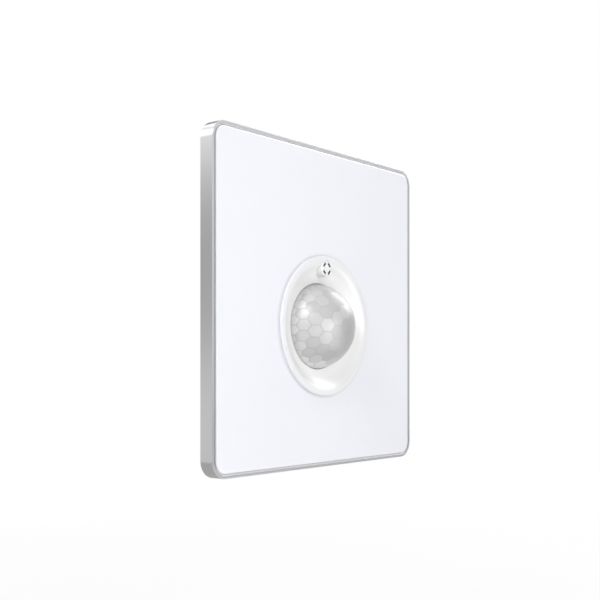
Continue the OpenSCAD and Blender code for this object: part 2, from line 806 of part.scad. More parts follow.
// Board behind the lens, drilled for its screws and notched round the terminal block
module sensor_board() {
  notch_w = block_w + 2 * (slip + rib_t + play);
  color("seagreen") on_wall() difference() {
    at([0, sensor_board_y])
      slab(sensor_board_w, sensor_board_h, board_corner_r, board_rear, board_front);
    at([0, block_top + board_gap - sensor_board_h / 2])
      box_between([notch_w, sensor_board_h], board_rear - cut, board_front + cut);
    at_sensor_board_screws() rod(small_screw_r + slip, board_rear - cut, board_front + cut);
    at_corners(post_x, post_y) rod(post_r + slip, board_rear - cut, board_front + cut);
  }
}

module sensor_board_screws() {
  color("lightsteelblue") on_wall() at_sensor_board_screws()
    translate([0, 0, board_rear]) pan_screw(small_screw_r, board_t + small_screw_grip);
}

// Infrared sensor in a metal can with a flange and three leads
module pir_sensor() {
  standoff = 0.4;
  flange_t = 0.6;
  flange_w = 0.5;
  lead_ring = 2.5;
  flange_front = board_front + standoff + flange_t;
  color("silver") on_wall() at_lens_axis() difference() {
    union() {
      rod(pir_r + flange_w, board_front + standoff, flange_front);
      rod(pir_r, flange_front - flange_t / 2, pir_front);
      for (a = [45, 135, 270]) rotate(a) translate([lead_ring, 0, 0])
        rod(lead_r, board_front, board_front + standoff + flange_t / 2);
    }
    box_between([pir_window_w, pir_window_h], pir_front - pir_window_depth, pir_front + cut);
  }
}

module pir_window() {
  color("dimgray") on_wall() at_lens_axis()
    box_between([pir_window_w - slip, pir_window_h - slip],
      pir_front - pir_window_depth, pir_front - pir_window_depth / 5);
}

// Light-dependent resistor on two leads, behind the light port
module photocell() {
  disc_t = 2;
  front = retainer_rear - photocell_gap;
  color("chocolate") on_wall() at([0, sensor_y + port_y]) {
    rod(photocell_r, front - disc_t, front);
    for (s = [-1, 1]) at([s * photocell_r / 2, 0]) rod(lead_r, board_front, front - disc_t / 2);
  }
}

// Control chip with two rows of legs
module controller_chip() {
  chip = [4, 10];
  chip_t = 1.6;
  legs = 8;
  leg_pitch = 1.27;
  leg = [chip[0] + 2, 0.4];
  leg_t = 0.3;
  inset = 7.8;
  rise = 0.6;
  color("darkslategray") on_wall() at([inset - sensor_board_w / 2, sensor_y + rise]) {
    box_between(chip, board_front + leg_t / 2, board_front + chip_t);
    for (k = [0:legs - 1]) at([0, (k - (legs - 1) / 2) * leg_pitch])
      box_between(leg, board_front, board_front + leg_t);
  }
}

module at_trimmer(side) {
  at([side * trimmer_x, sensor_y - trimmer_y]) children();
}

// Square trimmer body with a round seat and a hole for the rotor's pin
module trimmer_body(side) {
  top = board_front + trimmer_h;
  edge_r = 0.4;
  color("royalblue") on_wall() at_trimmer(side) difference() {
    slab(trimmer_w, trimmer_w, edge_r, board_front, top);
    rod(rotor_r + 2 * running, top - rotor_seat, top + cut);
    rod(rotor_r / 3 + running, top - 2 * rotor_seat - slip, top);
  }
}

module delay_trimmer_body() {
  trimmer_body(-1);
}

module lux_trimmer_body() {
  trimmer_body(1);
}

// Rotor with a cross slot for a screwdriver and a pointer notch at its edge
module trimmer_rotor(side) {
  top = board_front + trimmer_h + rotor_proud;
  seat = board_front + trimmer_h - rotor_seat + slip;
  slot = [rotor_r * 1.3, 0.6];
  notch = [0.6, 1];
  color("white") on_wall() at_trimmer(side) difference() {
    union() {
      rod(rotor_r, seat, top);
      rod(rotor_r / 3, seat - rotor_seat, seat + rotor_seat / 2);
    }
    for (a = [0, 90]) rotate(a) box_between(slot, top - rotor_proud * 0.8, top + cut);
    at([0, rotor_r]) box_between(notch, top - rotor_proud * 0.4, top + cut);
  }
}

module delay_trimmer_rotor() {
  trimmer_rotor(-1);
}

module lux_trimmer_rotor() {
  trimmer_rotor(1);
}

module at_header_pins() {
  for (k = [0:header_pins_n - 1]) at([(k - (header_pins_n - 1) / 2) * header_pitch, header_y]) children();
}

// Plastic strip that holds the pins between the two boards
module header_spacer() {
  strip = [header_pins_n * header_pitch, header_pitch];
  color("black") on_wall() difference() {
    at([0, header_y]) box_between(strip, board_rear - header_pitch, board_rear);
    at_header_pins()
      box_between([pin_w + slip, pin_w + slip], board_rear - header_pitch - cut, board_rear + cut);
  }
}

module header_pins() {
  color("gold") on_wall() at_header_pins() box_between([pin_w, pin_w], power_front, board_rear);
}

module power_board() {
  color("darkgreen") on_wall() difference() {
    at([0, power_board_y])
      slab(power_board_w, power_board_h, board_corner_r, power_rear, power_front);
    at_power_board_screws() rod(small_screw_r + slip, power_rear - cut, power_front + cut);
    at_corners(post_x, post_y) rod(post_r + slip, power_rear - cut, power_front + cut);
  }
}

module power_board_screws() {
  color("lightsteelblue") on_wall() at_power_board_screws()
    translate([0, 0, power_front]) mirror([0, 0, 1])
      pan_screw(small_screw_r, board_t + small_screw_grip - slip);
}

module relay() {
  edge_r = 0.8;
  color("royalblue") on_wall() at(relay_at)
    slab(relay_size[0], relay_size[1], edge_r, power_front, power_front + relay_size[2]);
}

module film_capacitor() {
  edge_r = 0.6;
  color("goldenrod") on_wall() at(film_at)
    slab(film_size[0], film_size[1], edge_r, power_front, power_front + film_size[2]);
}

// Aluminium can with a beaded groove near its foot
module electrolytic_capacitor() {
  bead = 0.35;
  bead_h = 1.6;
  color("black") on_wall() at(can_at) difference() {
    rod(can_r, power_front, power_front + can_h);
    translate([0, 0, power_front + bead_h]) rotate_extrude() translate([can_r, 0]) circle(bead);
  }
}

// Bridge rectifier with one bevelled corner
module bridge_rectifier() {
  notch = 1.2;
  color("black") on_wall() at(bridge_at) prism(power_front, power_front + bridge_size[2]) difference() {
    square([bridge_size[0], bridge_size[1]], center = true);
    translate([bridge_size[0], bridge_size[1]] / 2) rotate(45) square(notch * sqrt(2), center = true);
  }
}

// Upright disc on two leads
module varistor() {
  middle = power_front + varistor_lead + varistor_r;
  color("steelblue") on_wall() at(varistor_at) {
    translate([0, 0, middle]) rotate([90, 0, 0]) cylinder(r = varistor_r, h = varistor_t, center = true);
    for (s = [-1, 1]) at([s * varistor_r * 0.55, 0]) rod(lead_r, power_front, middle - varistor_r / 2);
  }
}

module fuse() {
  color("firebrick") on_wall() at(fuse_at) rod(fuse_r, power_front, power_front + fuse_h);
}

module at_terminals() {
  for (k = [-1:1]) at([k * terminal_pitch, clamp_y]) children();
}

// Block with a cell, a wire hole, a busbar slot and a screw well for each terminal
module terminal_block() {
  rails = [block_w + 2 * rail_w - slip, block_h - housing_wall - 2 * slip];
  color("whitesmoke") on_wall() difference() {
    union() {
      at([0, clamp_y]) box_between([block_w, block_h], -housing_depth, block_z);
      at([0, clamp_y + housing_wall / 2 + slip]) box_between(rails, rail_z - rail_t / 2, rail_z + rail_t / 2);
    }
    at_terminals() {
      box_between([cell_w, cell_h], cell_rear, block_z - block_front);
      at([0, -block_h / 2]) box_between([wire_hole_w, block_h], busbar_front - slip, jaw_rear + slip);
      at([0, block_h / 2])
        box_between([busbar_w + 2 * slip, block_h], busbar_rear - slip / 2, busbar_front + slip / 2);
      rod(terminal_screw_r + running, head_rest - cut, cell_rear + cut);
      rod(terminal_head_r + slip * 2, -housing_depth - cut, head_rest);
    }
  }
}

// Brass strips from the clamps to the power board
module busbars() {
  start = clamp_y - cell_h / 2 + cage_play * 3;
  color("gold") on_wall() at_terminals() at([0, -clamp_y]) {
    at([0, (start + riser_y) / 2]) box_between([busbar_w, riser_y - start], busbar_rear, busbar_front);
    at([0, riser_y - busbar_t / 2]) box_between([busbar_w, busbar_t], power_front, busbar_front);
  }
}

// Slotted clamp screw whose head is captive in the block
module terminal_screw(place) {
  head_front = head_rest - slip / 2;
  head_rear = head_front - terminal_head_t;
  slot_w = 0.8;
  color("lightsteelblue") on_wall() at([place * terminal_pitch, clamp_y]) difference() {
    union() {
      rod(terminal_head_r, head_rear, head_front);
      rod(terminal_screw_r, head_front - slip, busbar_rear - cage_play);
    }
    box_between([2 * terminal_head_r + cut, slot_w], head_rear - cut, head_rear + terminal_head_t / 2);
  }
}

module left_terminal_screw() {
  terminal_screw(-1);
}

module middle_terminal_screw() {
  terminal_screw(0);
}

module right_terminal_screw() {
  terminal_screw(1);
}

// Steel loop round the busbar that the screw draws up
module clamp_cage(place) {
  color("gainsboro") on_wall() at([place * terminal_pitch, clamp_y]) difference() {
    box_between([cage_w, cage_h], cage_rear, jaw_front);
    box_between([cage_w - 2 * cage_side_t, cage_h + cut], thread_front, jaw_rear);
    rod(terminal_screw_r + running, cage_rear - cut, thread_front + cut);
  }
}

module left_clamp_cage() {
  clamp_cage(-1);
}

module middle_clamp_cage() {
  clamp_cage(0);
}

module right_clamp_cage() {
  clamp_cage(1);
}

trim_frame();
front_plate();
cover_carrier();
sensor_bezel();
fresnel_lens();
lens_retainer();
retainer_screws();
light_port_cap();
mounting_base();
rear_housing();
housing_screws();
sensor_board();
sensor_board_screws();
pir_sensor();
pir_window();
photocell();
controller_chip();
delay_trimmer_body();
lux_trimmer_body();
delay_trimmer_rotor();
lux_trimmer_rotor();
header_spacer();
header_pins();
power_board();
power_board_screws();
relay();
film_capacitor();
electrolytic_capacitor();
bridge_rectifier();
varistor();
fuse();
terminal_block();
busbars();
left_terminal_screw();
middle_terminal_screw();
right_terminal_screw();
left_clamp_cage();
middle_clamp_cage();
right_clamp_cage();
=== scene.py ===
import json
import math
import random

import bmesh
import bpy
from mathutils import Matrix, Vector


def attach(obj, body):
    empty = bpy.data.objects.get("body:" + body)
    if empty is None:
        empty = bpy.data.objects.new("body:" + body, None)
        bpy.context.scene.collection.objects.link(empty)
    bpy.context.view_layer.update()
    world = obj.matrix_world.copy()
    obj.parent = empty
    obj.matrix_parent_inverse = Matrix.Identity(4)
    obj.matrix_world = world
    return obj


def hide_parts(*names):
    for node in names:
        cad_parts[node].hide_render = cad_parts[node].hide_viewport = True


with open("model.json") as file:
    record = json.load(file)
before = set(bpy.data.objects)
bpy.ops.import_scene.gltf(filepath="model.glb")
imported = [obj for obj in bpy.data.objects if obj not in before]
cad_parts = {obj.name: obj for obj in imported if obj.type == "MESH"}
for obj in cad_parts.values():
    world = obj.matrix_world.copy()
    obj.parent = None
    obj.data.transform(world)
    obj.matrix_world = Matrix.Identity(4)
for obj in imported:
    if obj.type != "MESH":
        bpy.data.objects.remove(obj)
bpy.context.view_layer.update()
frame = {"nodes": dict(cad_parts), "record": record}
nodes = frame["nodes"]

# Sizes of the cover and the sensor head, in millimetres
MM = 0.001
SLIP = 0.15  # gap between pieces that fit into each other
PAST = 1.0  # how far a cutter reaches past what it cuts
FRAME_SIDE, FRAME_CORNER = 86.0, 4.5
FRAME_BACK = 0.5
LIP_WIDTH, LIP_BEVEL = 1.05, 0.1
GROOVE_WIDTH, GROOVE_DEPTH = 0.3, 0.25
GROOVE_ASIDE, GROOVE_BELOW = 0.1, 0.04  # where the groove's painted light begins
LEDGE_INSIDE = LIP_WIDTH + 1.6
LEDGE_BACK, LEDGE_FRONT = 1.9, 2.65
FOOT_ROUND, LIP_ROUND, LEDGE_ROUND, FOLD_ROUND, INNER_ROUND = 0.12, 0.06, 0.08, 0.05, 0.1
NOTCH_WIDTH, NOTCH_HEIGHT, NOTCH_REACH, NOTCH_ROUND = 10.0, 1.0, 1.45, 0.3
PLATE_GAP = 0.05
PLATE_SIDE = FRAME_SIDE - 2 * (LIP_WIDTH + PLATE_GAP)
PLATE_CORNER = FRAME_CORNER - LIP_WIDTH - PLATE_GAP
PLATE_EDGE = 0.6
PLATE_FRONT = LEDGE_FRONT + 2.1
EDGE_HOLD, FACE_HOLD = 0.1, 0.15  # points beside the rounded edge that keep the flats flat
SHADE_WIDTH = PLATE_EDGE + 0.5
LIP_FRONT = PLATE_FRONT - 0.2
SENSOR_Y = -5.1
BEZEL_RADIUS = 18.85
RIM_EDGE, RIM_FOOT, RIM_WIDTH = 0.45, 0.3, 2.2
RIM_RUN, RIM_PULL = 0.95, 0.57
RIM_FRONT = PLATE_FRONT + 0.95
DISH_CURVE = 6.5
DISH_FLOOR = RIM_FRONT - 3.05
SKIRT_RADIUS = BEZEL_RADIUS - 0.8
DOME_RADIUS = 11.5
DOME_MIDDLE = PLATE_FRONT - 3.7
BEZEL_BACK = DOME_MIDDLE - 0.8
LENS_HOLE = DOME_RADIUS + SLIP
LENS_HOLE_ROUND = 0.1
LENS_FLANGE = DOME_RADIUS + 1.7
LENS_SEAT = LENS_FLANGE + SLIP
LENS_INSIDE = DOME_RADIUS - 0.7
FLANGE_ROUND, COLLAR_ROUND = 0.1, 0.05
SEAM_DEPTH = 0.07
PORT_Y = BEZEL_RADIUS - 3.4
PORT_RADIUS = 2.15
PORT_HOLE = PORT_RADIUS + 0.06
PORT_BACK = BEZEL_BACK + 1.9
PORT_FACE, PORT_ROUND, CAP_EDGE = 0.9, 0.14, 0.2
PORT_BORE = PORT_RADIUS - 0.4
SLOT_RING, SLOT_WIDTH = 1.45, 0.6
BOSS_WALL, BOSS_RADIUS = 1.1, 2.0
GROOVE_ROOF = 1.3
SCREW_HOLE, SCREW_DEPTH = 0.91, 2.85

# Angles, in degrees, and the points drawn along curves
SLOT_SPAN = 50.0
SLOT_ANGLES = (45, 135, 225, 315)
BOSS_ANGLES = (30, 150, 270)
FACET_PITCH = 18.6
FACET_RINGS = 5
FACET_STEPS = (0.25, 0.5, 0.72, 0.86, 0.94, 1.0)
FACET_PARTS = 5
BEZEL_STEPS, PLATE_HOLE_STEPS, CAP_STEPS, BOSS_STEPS = 192, 128, 96, 48
EDGE_STEPS, HOLLOW_STEPS, SLOT_STEPS = 10, 12, 12
FACET_SHARP = 8
MERGE_REACH = 2e-6

# Tone of the lens's facets: a seeded draw, plus painted light, a lighter spot at the left and lifts towards
# the edge
LENS_SEED = 1054
TONE_MIDDLE, PAINTED_SPOT_LIGHT, TONE_SPREAD = 0.22, 0.24, 0.26
PAINTED_SPOT_LEFT = 1.7 * FACET_PITCH
SEAM_MIDDLE, SEAM_RUN, SEAM_UP, SEAM_SPREAD = 0.20, 80.0, 0.6, 0.35
PAINTED_EDGE_LIFTS = (  # painted light: lift, share of right, share of up, first angle, run
    (0.5, -1.0, 0.0, 50.0, 25.0),
    (0.7, 0.0, -1.0, 45.0, 20.0),
    (0.45, -1.0, 0.8, 70.0, 25.0),
)
COLLAR_TONE = 0.5
SEAM_FROM, SEAM_DARK = 0.82, 0.42
# Painted shade over the lens's lower right: its direction, where it starts and ends, and how dark
LENS_SHADED = (0.42, -0.86, -0.27)
SHADE_FROM, SHADE_FULL, SHADE_DARK = 0.55, 1.05, 0.25
FACET_GROOVES = 60.0

# Finishes of the pieces: colours, and where and how much they change
# Painted light: the second silver and the groove's share on the next line make the frame's groove lighter at
# the top and the foot
SILVER, SILVER_PAINTED_LIGHT = (0.605, 0.605, 0.618), (0.785, 0.785, 0.80)
GROOVE_PAINTED_LIGHT, GROOVE_DULL = 0.7, 0.4
SHADE_POWER = 5
# The plate's white, then the painted shadow round the bezel, then the painted shade on its left edge
PLATE_WHITE, PLATE_BEZEL_SHADOW, PLATE_SHADE = (0.85, 0.858, 0.908), (0.73, 0.735, 0.78), (0.25, 0.25, 0.265)
# Where the painted shadow round the bezel lies: its shift to the right, its squeeze, and its outer and inner
# reach
BEZEL_SHADOW_ASIDE, BEZEL_SHADOW_SQUEEZE, BEZEL_SHADOW_FAR, BEZEL_SHADOW_NEAR = 0.25, 0.975, 0.75, 0.15
# Painted light and painted shade on the bezel: the dish's white is lighter than the rim's, and the outer
# wall's grey is darker
DISH_PAINTED_LIGHT, RIM_WHITE, WALL_PAINTED_SHADE = (0.89, 0.89, 0.89), (0.80, 0.803, 0.81), (0.74, 0.745, 0.775)
RIM_DULL, RIM_FADE_IN, RIM_FADE_OUT = 0.25, 0.4, 1.0
WALL_FADE_IN, WALL_FADE_OUT = 0.6, 0.1
# the cap's white, and the painted shade in its slots
CAP_WHITE, CAP_PAINTED_SHADE = (0.84, 0.843, 0.85), (0.17, 0.17, 0.175)
LENS_LOW, LENS_HIGH = (0.44, 0.44, 0.44, 1.0), (0.66, 0.66, 0.66, 1.0)
# the lens's seam colour, and the painted shade over its lower right
LENS_SEAM, LENS_PAINTED_SHADE = (0.26, 0.26, 0.26), (0.2, 0.2, 0.2)
PAD_TIN, PAD_EDGE, PAD_INSIDE = (0.62, 0.62, 0.60), 0.13, 0.11
GRAIN_DEPTH, LINE_DEPTH, RING_DEPTH, TRACK_DEPTH = 0.00004, 0.00003, 0.00002, 0.00005

# Studio: places and lengths in metres
HEAD = (0.0, -0.005, -0.005)
FLOOR_Z, FLOOR_REACH = -0.125, 4.0
# the floor's white, and the darker tone that only gloss sees near the switch: painted shade in reflections
FLOOR_WHITE, FLOOR_MIRROR_SHADE = (0.9, 0.9, 0.9), (0.58, 0.58, 0.58)
# where that painted shade in reflections ends and where it is full
MIRROR_SHADE_FAR, MIRROR_SHADE_NEAR = 0.5, 0.36
SHADOW_NEAR, SHADOW_FAR, SHADOW_WHITE = 0.2, 0.5, 0.85
MIRROR_NEAR, MIRROR_FAR = 1.5, 2.2
SKY_LEVEL, SKY_RISE, SKY_LEAN = 0.38, 0.22, -0.18
MIRROR_LEVEL, MIRROR_RISE = 0.86, 0.45
SIDE_TONES = (
    (-0.10, 0.80), (-0.075, 0.88), (-0.025, 0.82), (0.005, 0.62), (0.055, 0.55), (0.085, 0.58),
    (0.115, 0.78), (0.135, 1.10), (0.165, 1.25), (0.185, 1.9), (0.40, 1.9), (0.45, 1.1),
    (0.53, 1.1), (0.58, 1.9), (1.12, 1.9), (1.22, 0.45), (1.3, 0.45),
)
CARDS = (  # name, middle, half across, half upward, tones over the height
    ("side_card", (-0.31, 0.25, 0.45), (0.22, 0.273, 0.0), (0.0, 0.0, 0.85), SIDE_TONES),
    ("top_card", (0.0575, 0.40, 0.60), (0.1075, 0.0, 0.0), (0.0, -0.18, 0.14), ((0.0, 1.6), (1.0, 1.6))),
    ("dark_flag", (0.475, 0.46, 0.34), (0.315, 0.0, 0.0), (0.0, 0.0, 0.30), ((0.0, 0.35), (1.0, 0.35))),
    ("floor_card", (0.10, -0.26, -0.12), (0.16, 0.0, 0.0), (0.0, 0.16, 0.0), ((-1.0, 2.2), (1.0, 2.2))),
)
LEFT_PLACE, LEFT_SIZE, LEFT_POWER = (-0.466, -0.109, 0.362), (0.11, 0.11), 1.3
RIGHT_PLACE, RIGHT_SIZE, RIGHT_POWER = (0.504, -0.05, 0.324), (0.2, 0.36), 1.2
KEY_PLACE, KEY_SIZE, KEY_POWER = (-0.14, -0.30, 0.03), (0.24, 0.2), 0.40
FRONT_PLACE, FRONT_SIZE, FRONT_POWER = (0.025, -0.48, -0.105), (0.3, 0.3), 1.0
CAMERA_PLACE, CAMERA_AIM = (-0.21036, -0.16633, -0.01625), (0.7779, 0.6284, 0.0)
CAMERA_SENSOR, CAMERA_LENS, CAMERA_RISE = 36.0, 58.96, 0.11245
CAMERA_NEAR, CAMERA_FAR = 0.01, 20.0
CORNERS = ((-1, -1), (1, -1), (1, 1), (-1, 1))


# Drawing helpers

def clamp(value):
    return min(1.0, max(0.0, value))


def spot(x, y, out):
    """A point from millimetres right, up and out of the wall."""
    return Vector((x, -out, y)) * MM


def soften(corners, steps=5):
    """A closed outline whose corners (across, out, radius) are rounded."""
    points = []
    count = len(corners)
    for i, (across, out, radius) in enumerate(corners):
        here = Vector((across, out))
        before = Vector(corners[i - 1][:2]) - here
        after = Vector(corners[(i + 1) % count][:2]) - here
        if radius <= 0:
            points.append(here)
            continue
        before.normalize()
        after.normalize()
        half = before.angle(after) / 2
        reach = radius / math.tan(half)
        middle = here + (before + after).normalized() * radius / math.sin(half)
        start, end = here + before * reach, here + after * reach
        turn_by = (start - middle).angle_signed(end - middle)
        for k in range(steps + 1):
            arm = (start - middle).copy()
            arm.rotate(Matrix.Rotation(-turn_by * k / steps, 2))
            points.append(middle + arm)
    return points


def bend(start, leave, arrive, end, steps=10):
    """Points of a smooth curve between two ends, without the ends."""
    points = []
    for k in range(1, steps):
        t = k / steps
        u = 1 - t
        points.append(start * u ** 3 + leave * 3 * t * u ** 2 + arrive * 3 * t ** 2 * u + end * t ** 3)
    return points


def circle(radius, x, y, steps, turn=0.0):
    """Points round a circle, turned by a share of one step."""
    angles = [2 * math.pi * (k + turn) / steps for k in range(steps)]
    return [(x + radius * math.cos(a), y + radius * math.sin(a)) for a in angles]


def rounded_square(side, corner, steps=14):
    """Stations round a square with rounded corners: place and outward direction."""
    stations = []
    inset = side / 2 - corner
    for quarter, (sx, sy) in enumerate(((1, 1), (-1, 1), (-1, -1), (1, -1))):
        for k in range(steps + 1):
            angle = math.radians(90 * (quarter + k / steps))
            outward = Vector((math.cos(angle), math.sin(angle)))
            stations.append((Vector((sx * inset, sy * inset)) + outward * corner, outward))
    return stations


def mesh_piece(name, bm):
    mesh = bpy.data.meshes.new(name)
    bmesh.ops.recalc_face_normals(bm, faces=bm.faces)
    bm.to_mesh(mesh)
    bm.free()
    piece = bpy.data.objects.new(name, mesh)
    bpy.context.scene.collection.objects.link(piece)
    return piece


def skin_rings(bm, rings, closed=True):
    """Faces between neighbouring rings of points, the last ring joined to the first."""
    made = []
    count = len(rings[0])
    for a, b in zip(rings, rings[1:] + rings[:1]):
        for k in range(count if closed else count - 1):
            j = (k + 1) % count
            made.append(bm.faces.new((a[k], b[k], b[j], a[j])))
    return made


def sweep_points(bm, stations, section):
    """Rings of points of a section at the stations. Across is 0 on the outline."""
    rings = []
    for place, outward in stations:
        rings.append([bm.verts.new(spot(*(place + outward * p.x), p.y)) for p in section])
    return rings


def turn_points(bm, section, x, y, angle):
    """Points of a section (radius, out) at one angle about the axis at x, y."""
    c, s = math.cos(angle), math.sin(angle)
    return [bm.verts.new(spot(x + p.x * c, y + p.x * s, p.y)) for p in section]


def turn_rings(bm, section, x, y, steps, turn=0.0):
    """Rings of points of a section turned about the axis at x, y."""
    return [turn_points(bm, section, x, y, 2 * math.pi * (i + turn) / steps) for i in range(steps)]


def block(bm, low, high):
    """Block between two matching outlines of points."""
    bm.faces.new(low)
    bm.faces.new(high)
    for k in range(len(low)):
        j = (k + 1) % len(low)
        bm.faces.new((low[k], low[j], high[j], high[k]))


def prism(bm, outline, back, front):
    """Block on a closed outline of (x, y) points, from back to front."""
    block(bm, *([bm.verts.new(spot(x, y, out)) for x, y in outline] for out in (back, front)))


def take_away(piece, bm):
    """Cuts the shape in bm out of the piece."""
    cutter = mesh_piece(piece.name + "_cut", bm)
    change = piece.modifiers.new("cut", "BOOLEAN")
    change.object = cutter
    change.operation = "DIFFERENCE"
    change.solver = "EXACT"
    bpy.context.view_layer.update()
    graph = bpy.context.evaluated_depsgraph_get()
    mesh = bpy.data.meshes.new_from_object(piece.evaluated_get(graph))
    piece.modifiers.clear()
    old = piece.data
    piece.data = mesh
    bpy.data.meshes.remove(old)
    bpy.data.objects.remove(cutter)


def bore(piece, radius, x, y, back, front, steps=64, turn=0.5):
    """Cuts a round hole into the piece, from back to front."""
    bm = bmesh.new()
    prism(bm, circle(radius, x, y, steps, turn), back, front)
    take_away(piece, bm)


def set_on(piece, body, node, finish, sharp=32):
    """Shades a piece, gives it its finish and seats it on its body in place of the node."""
    piece.data.shade_smooth()
    piece.data.set_sharp_from_angle(angle=math.radians(sharp))
    piece.data.materials.clear()
    piece.data.materials.append(finish)
    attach(piece, body)
    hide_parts(node)


# Node helpers

def wire(tree, start, end):
    tree.links.new(start, end)


def feed(tree, socket, value):
    """Sets a socket to a number or a colour, or wires another socket to it."""
    if isinstance(value, (int, float)):
        socket.default_value = value
    elif isinstance(value, tuple):
        socket.default_value = (*value, 1.0) if socket.type == "RGBA" else value
    else:
        wire(tree, value, socket)


def node_group(name, inputs, outputs):
    group = bpy.data.node_groups.new(name, "ShaderNodeTree")
    for label, kind, value in inputs:
        socket = group.interface.new_socket(label, in_out="INPUT", socket_type=kind)
        socket.default_value = value
    for label, kind in outputs:
        group.interface.new_socket(label, in_out="OUTPUT", socket_type=kind)
    return group, group.nodes.new("NodeGroupInput"), group.nodes.new("NodeGroupOutput")


def place_group(tree, group, **values):
    step = tree.nodes.new("ShaderNodeGroup")
    step.node_tree = group
    for label, value in values.items():
        feed(tree, step.inputs[label.replace("_", " ")], value)
    return step


def math_node(tree, kind, a, b=None, clamped=False):
    step = tree.nodes.new("ShaderNodeMath")
    step.operation = kind
    step.use_clamp = clamped
    for socket, value in zip(step.inputs, (a, b)):
        if value is not None:
            feed(tree, socket, value)
    return step.outputs[0]


def vector_node(tree, kind, value):
    step = tree.nodes.new("ShaderNodeVectorMath")
    step.operation = kind
    wire(tree, value, step.inputs[0])
    return step


def mix_node(tree, kind, factor, first, second):
    """Mix of two colours (kind Color) or two numbers (kind Float)."""
    step = tree.nodes.new("ShaderNodeMix")
    step.data_type = "RGBA" if kind == "Color" else "FLOAT"
    sockets = {s.identifier: s for s in step.inputs}
    for key, value in (("Factor_Float", factor), ("A_" + kind, first), ("B_" + kind, second)):
        feed(tree, sockets[key], value)
    return {s.identifier: s for s in step.outputs}["Result_" + kind]


def blend_colour(tree, factor, first, second):
    return mix_node(tree, "Color", factor, first, second)


def choose(tree, switch, off, on):
    """The first value where the switch is 0, the second where it is 1."""
    return mix_node(tree, "Float", switch, off, on)


def attribute(tree, name):
    step = tree.nodes.new("ShaderNodeAttribute")
    step.attribute_name = name
    return step.outputs["Fac"]


def object_place(tree):
    return tree.nodes.new("ShaderNodeTexCoord").outputs["Object"]


def noise(tree, where, scale, detail=2.0, roughness=0.5):
    step = tree.nodes.new("ShaderNodeTexNoise")
    step.inputs["Detail"].default_value = detail
    step.inputs["Roughness"].default_value = roughness
    feed(tree, step.inputs["Scale"], scale)
    wire(tree, where, step.inputs["Vector"])
    return step.outputs["Fac"]


def ramp_between(tree, value, low, high, start=0.0, end=1.0, smooth=True):
    """The start at the low value and the end at the high one, smooth or straight between."""
    step = tree.nodes.new("ShaderNodeMapRange")
    step.interpolation_type = "SMOOTHSTEP" if smooth else "LINEAR"
    for label, amount in (("From Min", low), ("From Max", high), ("To Min", start), ("To Max", end)):
        step.inputs[label].default_value = amount
    wire(tree, value, step.inputs["Value"])
    return step.outputs["Result"]


def from_axis(tree, aside=0.0, squeeze=1.0):
    """Distance from the sensor's axis, in millimetres."""
    shift = tree.nodes.new("ShaderNodeMapping")
    shift.inputs["Location"].default_value = (-aside, 0.0, -SENSOR_Y)
    shift.inputs["Scale"].default_value = (squeeze / MM, 0.0, 1 / MM)
    wire(tree, object_place(tree), shift.inputs["Vector"])
    return vector_node(tree, "LENGTH", shift.outputs["Vector"]).outputs["Value"]


def bump(tree, height, shader, strength, distance):
    step = tree.nodes.new("ShaderNodeBump")
    step.inputs["Strength"].default_value = strength
    step.inputs["Distance"].default_value = distance
    wire(tree, height, step.inputs["Height"])
    wire(tree, step.outputs["Normal"], shader.inputs["Normal"])


# Shared skins

PLASTIC_SLOW, METAL_SLOW, FINE_ROUGH = 70.0, 90.0, 0.6
SKIN_OUTPUTS = (
    ("Colour", "NodeSocketColor"),
    ("Roughness", "NodeSocketFloat"),
    ("Height", "NodeSocketFloat"),
)


def about_middle(tree, value, amount):
    """A pattern's swing about its middle, times an amount."""
    return math_node(tree, "MULTIPLY", math_node(tree, "SUBTRACT", value, 0.5), amount)


def end_skin(tree, start, end, tone, fine):
    """The colour drifts with the tone. The gloss and the height follow the fine pattern."""
    lift = math_node(tree, "ADD", about_middle(tree, tone, start.outputs["Drift"]), 1.0)
    drifted = vector_node(tree, "SCALE", start.outputs["Colour"])
    wire(tree, lift, drifted.inputs["Scale"])
    wire(tree, drifted.outputs[0], end.inputs["Colour"])
    swing = about_middle(tree, fine, start.outputs["Gloss drift"])
    gloss = math_node(tree, "ADD", swing, start.outputs["Gloss"], clamped=True)
    wire(tree, gloss, end.inputs["Roughness"])
    wire(tree, fine, end.inputs["Height"])


def make_moulded_skin():
    """Plastic skin: a slow drift of tone and gloss, and a fine grain."""
    tree, start, end = node_group(
        "moulded_skin",
        (("Colour", "NodeSocketColor", (0.8, 0.8, 0.8, 1.0)), ("Drift", "NodeSocketFloat", 0.03),
         ("Gloss", "NodeSocketFloat", 0.35), ("Gloss drift", "NodeSocketFloat", 0.08),
         ("Grain scale", "NodeSocketFloat", 3000.0)),
        SKIN_OUTPUTS)
    where = object_place(tree)
    slow = noise(tree, where, PLASTIC_SLOW)
    fine = noise(tree, where, start.outputs["Grain scale"], roughness=FINE_ROUGH)
    end_skin(tree, start, end, slow, fine)
    return tree


def make_drawn_metal():
    """Metal skin: a fine pattern with its own scale in each direction, and a slow change of tone."""
    tree, start, end = node_group(
        "drawn_metal",
        (("Colour", "NodeSocketColor", (0.7, 0.7, 0.7, 1.0)), ("Gloss", "NodeSocketFloat", 0.3),
         ("Gloss drift", "NodeSocketFloat", 0.1), ("Stretch", "NodeSocketVector", (400.0, 6000.0, 400.0)),
         ("Drift", "NodeSocketFloat", 0.06)),
        SKIN_OUTPUTS)
    where = object_place(tree)
    pull = vector_node(tree, "MULTIPLY", where)
    wire(tree, start.outputs["Stretch"], pull.inputs[1])
    fine = noise(tree, pull.outputs[0], 1.0, roughness=FINE_ROUGH)
    slow = noise(tree, where, METAL_SLOW)
    halves = [math_node(tree, "MULTIPLY", pattern, 0.5) for pattern in (fine, slow)]
    end_skin(tree, start, end, math_node(tree, "ADD", *halves), fine)
    return tree


